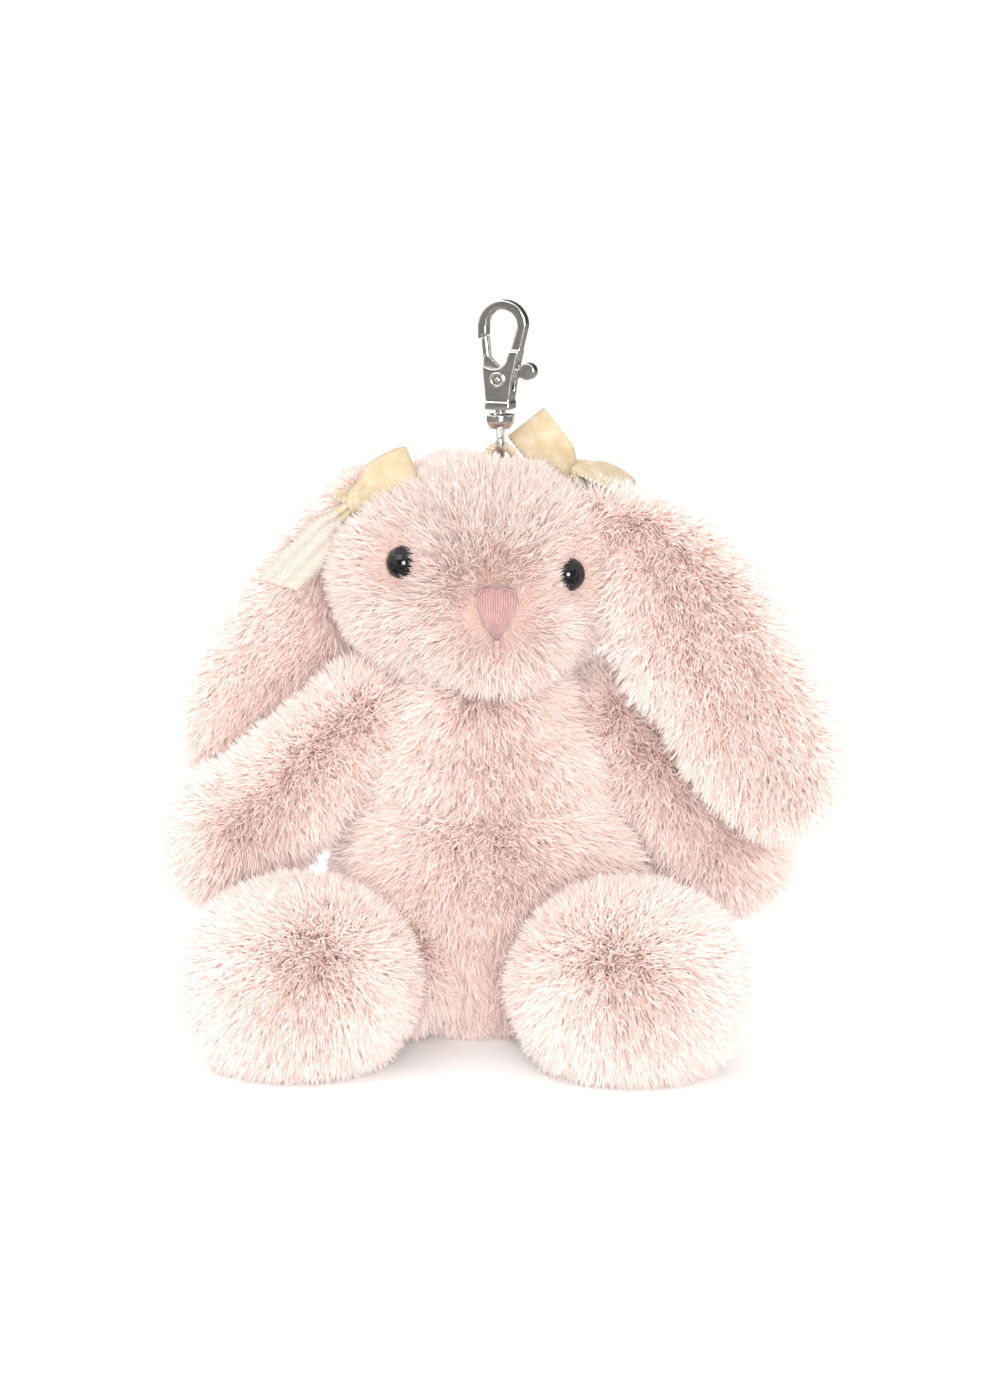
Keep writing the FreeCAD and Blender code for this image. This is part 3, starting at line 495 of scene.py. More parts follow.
def pile_nodes(plush, single_fibre):
    """Fibres spread over the cloth, combed, gathered in tufts, and kept above the floor."""
    tree = bpy.data.node_groups.new("Plush pile", "GeometryNodeTree")
    for side in ("INPUT", "OUTPUT"):
        tree.interface.new_socket("Geometry", in_out=side, socket_type="NodeSocketGeometry")
    cloth = tree.nodes.new("NodeGroupInput").outputs[0]
    count = maths(tree, "MULTIPLY", named_field(tree, "cover"), plush.fibre_count / MM**2)
    sowing = {"Mesh": cloth, "Density": count, "Seed": 4}
    spread = add_node(tree, "GeometryNodeDistributePointsOnFaces", sowing)
    place = tree.nodes.new("GeometryNodeInputPosition").outputs[0]
    comb = named_field(tree, "comb", "FLOAT_VECTOR")
    tufts = add_node(tree, "ShaderNodeTexVoronoi", {"Vector": place, "Scale": 1.0 / plush.tuft_size})
    gather = vectors(tree, "SUBTRACT", tufts.outputs["Position"], place)
    gather = vectors(tree, "SCALE", gather, scale=0.42 / plush.tuft_size)
    waves = add_node(tree, "ShaderNodeTexNoise", {"Vector": place, "Scale": 1.0 / (4.5 * MM), "Detail": 3.0})
    waves = vectors(tree, "SUBTRACT", waves.outputs["Color"], (0.5, 0.5, 0.5))
    waves = vectors(tree, "SCALE", waves, scale=1.35)
    loose = random_field(tree, 11, (-0.5,) * 3, (0.5,) * 3, "FLOAT_VECTOR")
    aim = vectors(tree, "SCALE", comb, scale=plush.lean)
    for part in (spread.outputs["Normal"], gather, waves, loose):
        aim = vectors(tree, "ADD", aim, part)
    upright = add_node(tree, "FunctionNodeAlignRotationToVector", {"Vector": aim}, axis="Z")
    sideways = vectors(tree, "ADD", comb, random_field(tree, 12, (-0.8,) * 3, (0.8,) * 3, "FLOAT_VECTOR"))
    turned = add_node(
        tree,
        "FunctionNodeAlignRotationToVector",
        {"Rotation": upright.outputs[0], "Vector": sideways},
        axis="X",
        pivot_axis="Z",
    )
    reach = maths(tree, "MULTIPLY", named_field(tree, "pile"), random_field(tree, 13, 0.62, 1.12))
    reach = maths(tree, "MULTIPLY", reach, plush.pile_length)
    planted = {
        "Points": spread.outputs["Points"],
        "Instance": add_node(tree, "GeometryNodeObjectInfo", {"Object": single_fibre}).outputs["Geometry"],
        "Rotation": turned.outputs[0],
        "Scale": joined(tree, reach, 1.0, reach),
    }
    fibres = add_node(tree, "GeometryNodeInstanceOnPoints", planted).outputs[0]
    tone = add_node(tree, "ShaderNodeTexNoise", {"Vector": place, "Scale": 1.0 / (5.0 * MM), "Detail": 3.0})
    tone = maths(tree, "MULTIPLY_ADD", tone.outputs[0], 0.6, -0.16)
    tone = maths(tree, "ADD", tone, random_field(tree, 14, -0.10, 0.10))
    # the tint is random tone from noise and chance, plus painted shade where the per-place tint shift pushes fibres
    # towards the deep colour in creases, round the eyes and under the head
    tone = maths(tree, "ADD", tone, named_field(tree, "blush"))
    tone = add_node(tree, "ShaderNodeClamp", {"Value": tone, "Min": 0.02, "Max": 0.96}).outputs[0]
    fibres = stored(tree, fibres, "tint", tone, "FLOAT", "INSTANCE")
    fibres = add_node(tree, "GeometryNodeRealizeInstances", {0: fibres}).outputs[0]
    east, north, height = split(tree, place)
    kept_up = joined(tree, east, north, maths(tree, "MAXIMUM", height, 0.02 * MM))
    fibres = add_node(tree, "GeometryNodeSetPosition", {"Geometry": fibres, "Position": kept_up}).outputs[0]
    tinted = maths(tree, "MULTIPLY_ADD", named_field(tree, "across"), 0.03, named_field(tree, "tint"))
    fibre_map = joined(tree, tinted, named_field(tree, "along"), 0.0)
    fibres = stored(tree, fibres, "OFBake", fibre_map, "FLOAT2", "CORNER")
    across, near_root = maths(tree, "MULTIPLY_ADD", east, 5.0, 0.5), maths(tree, "MULTIPLY_ADD", height, 0.1, 0.005)
    cloth_map = joined(tree, across, near_root, 0.0)
    backing = stored(tree, cloth, "OFBake", cloth_map, "FLOAT2", "CORNER")
    both = tree.nodes.new("GeometryNodeJoinGeometry")
    for part in (fibres, backing):
        tree.links.new(part, both.inputs[0])
    tree.links.new(both.outputs[0], tree.nodes.new("NodeGroupOutput").inputs[0])
    return tree


def eased(low, high, value):
    """0 below low, 1 above high, and a smooth step between."""
    share = min(max((value - low) / (high - low), 0.0), 1.0)
    return share * share * (3 - 2 * share)


class Coat:
    """The pile at one place: its lie, how far the cloth is pushed out, its length, density, and a tint shift that
    is painted shade in creases, round the eyes and under the head, and a paler tint on the soles.
    """

    def __init__(self, place, normal):
        self.place, self.normal = place, normal
        self.comb, self.push = DOWN.copy(), Vector()
        self.pile, self.cover, self.blush = 1.0, 1.0, 0.0


def grow_plush(context, name, node_name, body, groom, sockets, spare_nodes=(), soften=3):
    """One plush piece: an even backing cloth made from the sewn skin, and the pile that grows on it."""
    plush = context.scene.plush_bunny_plush
    item = remeshed(outer_shell(node_name), name, CLOTH_GRID, soften)
    mesh = item.data
    mesh.attributes.new("comb", "FLOAT_VECTOR", "POINT")
    for attribute in ("pile", "cover", "blush"):
        mesh.attributes.new(attribute, "FLOAT", "POINT")
    coats = []
    for vert in mesh.vertices:
        coat = Coat(vert.co.copy(), vert.normal.copy())
        for pivot, radius in sockets:
            coat.cover *= eased(radius - 0.5 * MM, radius + 0.8 * MM, (coat.place - pivot).length)
        groom(coat)
        flattened = eased(0.80, 0.95, -coat.normal.z) * eased(2.2 * MM, 1.0 * MM, coat.place.z)
        coat.cover *= 1.0 - 0.5 * flattened
        coat.pile *= 1.0 - 0.45 * flattened
        coat.push = coat.push + Vector((0, 0, 0.9 * MM)) * flattened
        flow = coat.comb - coat.normal * coat.comb.dot(coat.normal)
        coat.comb = flow.normalized() * min(1.0, flow.length) if flow.length > 1e-6 else Vector()
        coats.append(coat)
    for vert, coat in zip(mesh.vertices, coats):
        vert.co += coat.push
        vert.co.z = max(vert.co.z, 0.0)
    mesh.attributes["comb"].data.foreach_set("vector", [x for c in coats for x in c.comb])
    for attribute in ("pile", "cover", "blush"):
        mesh.attributes[attribute].data.foreach_set("value", [getattr(c, attribute) for c in coats])
    single_fibre = bpy.data.objects.get("Fibre") or fibre(plush.fibre_width)
    modifier = item.modifiers.new("Pile", "NODES")
    modifier.node_group = bpy.data.node_groups.get("Plush pile") or pile_nodes(plush, single_fibre)
    applied(item)
    for attribute in ("comb", "pile", "cover", "blush", "along", "across", "tint", "id"):
        found = item.data.attributes.get(attribute)
        if found:
            item.data.attributes.remove(found)
    # the face tips are a darker copy of the body's, painted shade against the stronger light on the head
    tip = plush.face_colour if body == "head" else plush.body_colour
    look = "Face plush" if body == "head" else "Body plush"
    material = bpy.data.materials.get(look) or plush_material(look, tuple(plush.root_colour), tuple(tip))
    item.data.materials.clear()
    item.data.materials.append(material)
    finish_piece(item, body, "fur_skin", node_name, *spare_nodes)
    return item


def centre_of(node_name):
    low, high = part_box(node_name)
    return (Vector(low) + Vector(high)) / 2


class BUNNY_OT_torso(bpy.types.Operator):
    """Plush of the seated body and its tail"""

    bl_idname = "bunny.torso"
    bl_label = "Body plush"

    def execute(self, context):
        sockets = [(PIVOTS["head_tilt"], 12.5 * MM)]
        sockets += [(PIVOTS[f"arm_{side}_raise"], 7.5 * MM) for side in ("left", "right")]
        sockets += [(PIVOTS[f"leg_{side}_lift"], 11.0 * MM) for side in ("left", "right")]

        def groom(coat):
            """Down the chest, and in towards the gathered seam between the legs."""
            x, y, z = coat.place / MM
            low = eased(36, 12, z)
            front = eased(4, -8, y)
            coat.comb = Vector((0.25 * x / 20 - low * front * 1.1 * (x - 1) / 14, -0.1, -1))
            seam = front * eased(3.2, 0.6, abs(x - 1.0)) * eased(34, 14, z)
            # painted shade: deeper tint along the gathered seam crease and low on the front between the legs
            coat.blush = 0.35 * seam + 0.16 * eased(26, 10, z) * front
            coat.pile = 1.0 - 0.3 * seam
            coat.pile += 0.4 * eased(20, 27, x) * eased(22, 30, z) * eased(48, 40, z)

        filling = ("body_stuffing", "pellet_bag")
        grow_plush(context, "body_plush", "body_skin", "torso", groom, sockets, filling, soften=12)

        def groom_tail(coat):
            coat.comb = Vector((0, 0.6, -1))

        grow_plush(context, "tail_plush", "tail_skin", "torso", groom_tail, [], ("tail_stuffing",))
        return {"FINISHED"}


class BUNNY_OT_head(bpy.types.Operator):
    """Plush of the head, parted round eyes, nose and mouth"""

    bl_idname = "bunny.head"
    bl_label = "Head plush"

    def execute(self, context):
        nose = centre_of("nose_stitching")
        eyes = [centre_of(f"eye_{side}") for side in ("left", "right")]
        sockets = [(PIVOTS["head_tilt"], 14.0 * MM)]
        sockets += [(PIVOTS[f"ear_{side}_lift"], 5.6 * MM) for side in ("left", "right")]
        pressed = [centre_of(f"bow_left_{place}") + LEFT_BOW_SHIFT for place in ("loop_front", "knot")]
        pressed += [centre_of(f"bow_right_{place}") + SIDE_LOOP_SHIFT for place in ("knot", "loop_side")]
        low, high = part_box("hanging_loop")
        pressed.append((Vector(low) + Vector(high)) / 2 + Vector((0, 0, 1 * MM)))

        def groom(coat):
            """Out from the nose over the face, and down the back; pressed flat under the trimmings."""
            away = (coat.place - nose) / MM
            out = away.normalized()
            back = eased(-6, 12, coat.place.y / MM)
            coat.comb = out * 0.7 * (1 - back) + Vector((0, 0.2, -1)) * back
            for eye in eyes:
                gap = (coat.place - eye).length / MM
                coat.pile *= 0.34 + 0.66 * eased(3.0, 10.0, gap)
                coat.cover *= eased(2.9, 3.4, gap)
                # painted shade round the eyes
                coat.blush += 0.30 * eased(9.0, 3.5, gap)
            flat = math.hypot(away.x, away.z)
            if away.y < 14:
                coat.pile *= 0.30 + 0.70 * eased(3.0, 12.0, flat)
                # deeper tint over the nose bridge
                bridge = math.hypot(away.x, away.z - 4.0)
                coat.blush += 0.42 * eased(10.0, 4.0, bridge)
                # painted shade along the parted line of the mouth
                mouth = eased(1.5, 0.4, abs(away.x)) * eased(-13, -10, away.z) * eased(-3, -5, away.z)
                coat.cover *= 1.0 - 0.8 * mouth
                coat.blush += 0.5 * mouth
            # painted shade low on the head, where it meets the body
            coat.blush += 0.2 * eased(76, 70, coat.place.z / MM)
            coat.pile *= 1.0 - 0.25 * eased(98, 110, coat.place.z / MM)
            for trim in pressed:
                coat.pile *= 0.3 + 0.7 * eased(4.0, 9.0, (coat.place - trim).length / MM)

        grow_plush(context, "head_plush", "head_skin", "head", groom, sockets, ("head_stuffing",))
        return {"FINISHED"}


class BUNNY_OT_ears(bpy.types.Operator):
    """Plush of the two hanging ears"""

    bl_idname = "bunny.ears"
    bl_label = "Ear plush"

    def execute(self, context):
        side_loop = centre_of("bow_right_loop_side") + SIDE_LOOP_SHIFT
        pressed = [side_loop + Vector((step, -0.2 * step, -0.5 * step)) * MM for step in (-2, 3, 7)]
        for side in ("left", "right"):
            low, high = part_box(f"ear_{side}_skin")
            pivot = PIVOTS[f"ear_{side}_lift"]
            outer = low[0] + 9 * MM if side == "left" else high[0] - 9 * MM
            tip = Vector((outer, (low[1] + high[1]) / 2, low[2] - 4 * MM))

            def groom(coat, tip=tip, pivot=pivot):
                """Along the ear to its tip; the inner edge fills the hollow beside the cheek."""
                coat.comb = (tip - coat.place).normalized()
                inner = eased(0.2, -0.9, coat.normal.x) if pivot.x > 0 else 0.0
                inner *= eased(66, 76, coat.place.z / MM) * eased(100, 90, coat.place.z / MM)
                coat.push = Vector((-3.2 * MM, 0, 0)) * inner
                coat.pile += 0.4 * inner
                for trim in pressed:
                    coat.pile *= 0.35 + 0.65 * eased(3.0, 8.0, (coat.place - trim).length / MM)

            grow_plush(
                context,
                f"ear_{side}_plush",
                f"ear_{side}_skin",
                f"ear_{side}",
                groom,
                [(pivot, 4.0 * MM)],
                (f"ear_{side}_batting",),
            )
        return {"FINISHED"}


class BUNNY_OT_arms(bpy.types.Operator):
    """Plush of the two arms"""

    bl_idname = "bunny.arms"
    bl_label = "Arm plush"

    def execute(self, context):
        for side in ("left", "right"):
            pivot = PIVOTS[f"arm_{side}_raise"]
            low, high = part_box(f"arm_{side}_skin")
            outer = low[0] + 10 * MM if side == "left" else high[0] - 10 * MM
            hand = Vector((outer, (low[1] + high[1]) / 2, low[2] + 10 * MM))
            run = (hand - pivot).normalized()

            def groom(coat, run=run, hand=hand):
                beyond = (coat.place - hand) / (12 * MM)
                coat.comb = run + beyond * 0.5 + Vector((0, 0, -0.35))
                coat.pile += 0.35 * eased(0.0, -0.8, coat.normal.z) * eased(28, 34, coat.place.z / MM)

            grow_plush(
                context,
                f"arm_{side}_plush",
                f"arm_{side}_skin",
                f"arm_{side}",
                groom,
                [(pivot, 5.5 * MM)],
                (f"arm_{side}_stuffing",),
            )
        return {"FINISHED"}


class BUNNY_OT_legs(bpy.types.Operator):
    """Plush of the two legs and their round soles"""

    bl_idname = "bunny.legs"
    bl_label = "Leg plush"

    def execute(self, context):
        for side in ("left", "right"):
            pivot = PIVOTS[f"leg_{side}_lift"]
            low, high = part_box(f"leg_{side}_skin")
            outer = low[0] + 18.8 * MM if side == "left" else high[0] - 18.8 * MM
            foot = Vector((outer, low[1] + 17 * MM, high[2] / 2))

            def groom(coat, foot=foot, pivot=pivot):
                """Along the leg, then across the sole to its outer lower edge."""
                front = eased(-2, -12, (coat.place.y - foot.y) / MM)
                along = (foot - pivot).normalized()
                over = Vector((0.35 if foot.x > 0 else -0.35, 0, -0.7))
                coat.comb = along * (1 - front) * 0.8 + over * front + Vector((0, 0, -0.2))
                # a paler tint over the front of the sole
                coat.blush = -0.18 * front

            grow_plush(
                context,
                f"leg_{side}_plush",
                f"leg_{side}_skin",
                f"leg_{side}",
                groom,
                [(pivot, 9.5 * MM)],
                (f"leg_{side}_stuffing",),
            )
        return {"FINISHED"}


# ---------------------------------------------------------------- face
class BUNNY_OT_face(bpy.types.Operator):
    """Glossy eyes, satin-stitched nose and the mouth stitch"""

    bl_idname = "bunny.face"
    bl_label = "Eyes, nose and mouth"

    def execute(self, context):
        trim = context.scene.plush_bunny_trim
        gloss, nylon = eye_material(), cloth_material("Washer nylon", (0.9, 0.9, 0.88), 0.4 * MM)
        for side in ("left", "right"):
            set_finish(f"eye_{side}", gloss)
            set_finish(f"eye_{side}_washer", nylon)
        set_finish("mouth_stitching", thread_material("Nose thread", tuple(trim.nose_colour)))
        self.stitch_nose(trim, thread_material("Nose stitches", tuple(trim.nose_colour), stitched=True))
        return {"FINISHED"}

    def stitch_nose(self, trim, thread):
        """A shield of side-by-side stitches that fan in towards the mouth, over a padded core."""
        low, high = (Vector(corner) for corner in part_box("nose_stitching"))
        core = surface_of("nose_stitching")
        middle = (low.x + high.x) / 2
        half, tall = (high.x - low.x) / 2, high.z - low.z
        stitches = max(9, round(2 * half / trim.stitch_pitch))
        bm = bmesh.new()
        bmesh.ops.create_grid(bm, x_segments=stitches * 8, y_segments=40, size=0.5)
        weave = bm.loops.layers.uv.new("weave")
        for face in bm.faces:
            for loop in face.loops:
                loop[weave].uv = ((loop.vert.co.x + 0.5) * stitches, loop.vert.co.y + 0.5)
        for vert in bm.verts:
            u, v = vert.co.x * 2, vert.co.y + 0.5
            width = half * (0.12 + 0.88 * math.sin(min(1.0, v * 1.12) * math.pi / 2) ** 0.9)
            if v > 0.82:
                width *= math.sqrt(max(0.0, 1 - ((v - 0.82) / 0.18) ** 2)) * 0.45 + 0.55
            x = middle + u * width
            z = low.z + tall * v
            ridge = abs(math.cos(math.pi * stitches * (u + 1) / 2))
            dome = math.sqrt(max(0.0, 1 - u * u)) * math.sqrt(max(0.0, 1 - (2 * v - 1) ** 4))
            hit = core.ray_cast(Vector((x, low.y - 0.01, z)), Vector((0, 1, 0)))[0]
            ground = hit.y if hit else core.find_nearest(Vector((x, low.y, z)))[0].y
            lift = (0.25 + 0.85 * dome) * MM - 0.26 * MM * ridge**2.5
            vert.co = (x, ground - lift + 0.15 * MM, z)
        rim = bmesh.ops.extrude_face_region(bm, geom=list(bm.faces))
        for vert in [g for g in rim["geom"] if isinstance(g, bmesh.types.BMVert)]:
            vert.co.y += 1.3 * MM
        bmesh.ops.recalc_face_normals(bm, faces=bm.faces)
        item = as_object("nose_satin_stitch", mesh_from(bm, "nose_satin_stitch"), thread)
        finish_piece(item, "head", "nose_thread", "nose_stitching")


def set_finish(node_name, material):
    item = frame["nodes"][node_name]
    if not item.material_slots:
        item.data.materials.append(material)
    for slot in item.material_slots:
        slot.material = material


# ---------------------------------------------------------------- ribbons
def ribbon_seat(place, along, facing):
    """Local X runs along the ribbon, local Z out of its broad side."""
    ahead = Vector(along).normalized()
    across = Vector(facing).cross(ahead).normalized()
    turn = Matrix((ahead, across, ahead.cross(across))).transposed()
    return Matrix.Translation(place) @ turn.to_4x4()


def picots(bm, edge_points, size):
    """A row of little thread loops along an edge."""
    walked = 0.0
    for one, other in zip(edge_points, edge_points[1:]):
        walked += (other - one).length
        if walked >= size * 1.35:
            walked = 0.0
            seat = Matrix.Translation(other) @ Matrix.Diagonal((size * 0.55, size * 0.55, size * 0.55, 1.0))
            bmesh.ops.create_icosphere(bm, subdivisions=1, radius=1.0, matrix=seat)


def ribbon_strip(name, seat, path, width_at, trim, materials, satin_outside=False):
    """A ribbon along a path in its local X-Z plane: velvet one side, satin the other, picots at its edges."""
    steps, across = len(path) - 1, 12
    bm = bmesh.new()
    bmesh.ops.create_grid(bm, x_segments=across, y_segments=steps, size=0.5)
    weave = bm.loops.layers.uv.new("weave")
    length = [0.0]
    for one, other in zip(path, path[1:]):
        length.append(length[-1] + (other - one).length)
    edges = {-1: {}, 1: {}}
    spots = {}
    for vert in bm.verts:
        u, row = vert.co.x * 2, round((vert.co.y + 0.5) * steps)
        point, share = path[row], length[row] / length[-1]
        width = width_at(share)
        pleat = (1 - width / trim.ribbon_width) * 1.1 * MM * math.cos(3 * math.pi * u)
        local = Vector((point.x + width_at.slant(share) * u, u * width / 2, point.z + pleat))
        spots[vert] = (u, length[row])
        vert.co = seat @ local
        if abs(u) > 0.999:
            edges[round(u)][row] = vert.co.copy()
    for face in bm.faces:
        for loop in face.loops:
            u, run = spots[loop.vert]
            loop[weave].uv = (u * 3.5, run / MM)
    bmesh.ops.recalc_face_normals(bm, faces=bm.faces)
    item = as_object(name, mesh_from(bm, name), *materials)
    wall = item.modifiers.new("Thickness", "SOLIDIFY")
    wall.thickness = trim.ribbon_thickness
    wall.offset = 0.0
    applied(item)
    bm = bmesh.new()
    bm.from_mesh(item.data)
    bm.normal_update()
    home = seat.inverted()
    core = path[len(path) // 2].x / 2
    for face in bm.faces:
        normal, place = home.to_3x3() @ face.normal, home @ face.calc_center_median()
        outward = normal.z if satin_outside else Vector((place.x - core, 0, place.z)).dot(normal)
        face.material_index = 1 if (outward > 0) == satin_outside and abs(normal.y) < 0.7 else 0
    start = len(bm.faces)
    for side in (-1, 1):
        points = [edges[side][row] for row in sorted(edges[side])]
        picots(bm, points, 0.62 * MM)
    bm.faces.ensure_lookup_table()
    for face in bm.faces[start:]:
        face.material_index = 2
    bm.to_mesh(item.data)
    bm.free()
    item.data.shade_smooth()
    return item


class Width:
    """Ribbon width along its run, gathered where it leaves the knot."""

    def __init__(self, full, gathered, both_ends, slant=0.0):
        self.full, self.gathered, self.both_ends, self.cut = full, gathered, both_ends, slant

    def __call__(self, share):
        near = min(share, 1 - share) * 2 if self.both_ends else share
        return self.full * (self.gathered + (1 - self.gathered) * eased(0.0, 0.42, near))

    def slant(self, share):
        return self.cut * eased(0.6, 1.0, share)


def loop_path(length, height, steps=72):
    """Out from the knot, round the end and back: a drop seen from its side."""
    path = []
    for step in range(steps + 1):
        turn = 2 * math.pi * step / steps
        out = length * (0.5 - 0.5 * math.cos(turn))
        swell = (0.35 + 0.65 * out / length) ** 0.8
        path.append(Vector((out, 0, 0.5 * height * math.sin(turn) * swell)))
    return path


class BUNNY_OT_bows(bpy.types.Operator):
    """Both velvet ribbon bows with their satin backs and picot edges"""

    bl_idname = "bunny.bows"
    bl_label = "Ribbon bows"

    # node: knot, direction away from it, broad side, length, height of the loop
    LOOPS = {
        "bow_left_loop_front": ("left", (12.6, -3.4, 7.6), (-0.3, -1.0, 0.5), 13.2, 5.6),
        "bow_left_loop_back": ("left", (-0.1, 0.95, 0.30), (-0.3, -0.3, 0.9), 7.0, 3.4),
        "bow_right_loop_standing": ("right", (-0.62, 0.14, 0.78), (0.0, -1.0, 0.1), 14.5, 4.0),
        "bow_right_loop_side": ("right", (9.5, -2.0, -5.0), (0.45, -0.45, 0.9), 12.0, 4.6),
    }

    def execute(self, context):
        trim = context.scene.plush_bunny_trim
        velvet, satin = velvet_material(tuple(trim.velvet_colour)), satin_material(tuple(trim.satin_colour))
        edging = thread_material("Picot thread", (0.68, 0.62, 0.50))
        materials = (velvet, satin, edging)
        knots = {side: centre_of(f"bow_{side}_knot") for side in ("left", "right")}
        knots["left"] += LEFT_BOW_SHIFT
        for node_name, (side, along, facing, length, height) in self.LOOPS.items():
            lifted = Vector(facing).normalized() * (1.6 * MM if "front" in node_name else 0.0)
            if node_name == "bow_right_loop_side":
                lifted = SIDE_LOOP_SHIFT
            seat = ribbon_seat(knots[side] + lifted, along, facing)
            width = Width(trim.ribbon_width, 0.5, True)
            path = loop_path(length * MM, height * MM)
            item = ribbon_strip(f"{node_name}_ribbon", seat, path, width, trim, materials)
            finish_piece(item, "head", "velvet", node_name)
        self.tail(trim, knots["left"], materials)
        for side in ("left", "right"):
            self.knot(side, velvet)
            set_finish(f"bow_{side}_thread", edging)
        return {"FINISHED"}

    def tail(self, trim, knot, materials):
        """One free end, satin side out, cut slantwise."""
        seat = ribbon_seat(knot, (-15.0, 0.5, -15.5), (0.1, -1.0, 0.0))
        length, steps = 22.5 * MM, 60
        path = []
        for step in range(steps + 1):
            share = step / steps
            wave = 0.5 * MM * math.sin(share * 5.0) * share
            path.append(Vector((1.0 * MM + share * length, 0, wave)))
        width = Width(trim.ribbon_width * 0.86, 0.42, False, slant=-2.0 * MM)
        item = ribbon_strip("bow_left_tail_ribbon", seat, path, width, trim, materials, satin_outside=True)
        finish_piece(item, "head", "velvet", "bow_left_tail")

    def knot(self, side, velvet):
        """The wrapped middle: a short band drawn tight, with folds running round it."""
        low, high = (Vector(corner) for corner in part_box(f"bow_{side}_knot"))
        middle, half = (low + high) / 2, (high - low) / 2
        if side == "left":
            middle += LEFT_BOW_SHIFT
        bm = bmesh.new()
        bmesh.ops.create_uvsphere(bm, u_segments=48, v_segments=28, radius=1.0)
        for vert in bm.verts:
            turn = math.atan2(vert.co.y, vert.co.x)
            fold = 1.0 + 0.07 * math.sin(6 * turn + 3 * vert.co.z) * (1 - vert.co.z**2)
            vert.co = middle + Vector((vert.co[i] * half[i] * fold for i in range(3)))
        item = as_object(f"bow_{side}_knot_wrap", mesh_from(bm, "knot"), velvet)
        finish_piece(item, "head", "velvet", f"bow_{side}_knot")


class BUNNY_OT_hanging_loop(bpy.types.Operator):
    """The sewn-in arch of twisted cord that carries the swivel"""

    bl_idname = "bunny.hanging_loop"
    bl_label = "Hanging loop"

    def execute(self, context):
        low, high = (Vector(corner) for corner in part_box("hanging_loop"))
        thick = 1.0 * MM
        arch = (high.x - low.x) / 2 - thick
        middle = Vector(((low.x + high.x) / 2, (low.y + high.y) / 2, high.z - thick - arch))
        cream = thread_material("Cord", (0.56, 0.47, 0.34))
        bm = bmesh.new()
        leg, turns, strands = 7.5 * MM, 9.0, 3
        run = 2 * leg + math.pi * arch
        steps = 150
        for strand in range(strands):
            rings = []
            for step in range(steps + 1):
                walk = run * step / steps
                if walk < leg:
                    spot, ahead = middle + Vector((-arch, 0, walk - leg)), Vector((0, 0, 1))
                elif walk > run - leg:
                    spot, ahead = middle + Vector((arch, 0, run - leg - walk)), Vector((0, 0, -1))
                else:
                    angle = math.pi - (walk - leg) / arch
                    spot = middle + Vector((math.cos(angle), 0, math.sin(angle))) * arch
                    ahead = Vector((math.sin(angle), 0, -math.cos(angle)))
                side = Vector((0, 1, 0))
                out = ahead.cross(side)
                twist = 2 * math.pi * (turns * step / steps + strand / strands)
                radial = side * math.cos(twist) + out * math.sin(twist)
                centre = spot + radial * thick * 0.46
                turn = Matrix((side, out, ahead)).transposed().to_4x4()
                ring = bmesh.ops.create_circle(
                    bm, segments=10, radius=thick * 0.53, matrix=Matrix.Translation(centre) @ turn
                )
                rings.append(ring["verts"])
            for one, other in zip(rings, rings[1:]):
                bmesh.ops.bridge_loops(bm, edges=own_edges(one) + own_edges(other))
        bmesh.ops.holes_fill(bm, edges=[e for e in bm.edges if e.is_boundary], sides=0)
        bmesh.ops.recalc_face_normals(bm, faces=bm.faces)
        item = as_object("hanging_loop_cord", mesh_from(bm, "hanging_loop_cord"), cream)
        finish_piece(item, "head", "cord", "hanging_loop")
        return {"FINISHED"}


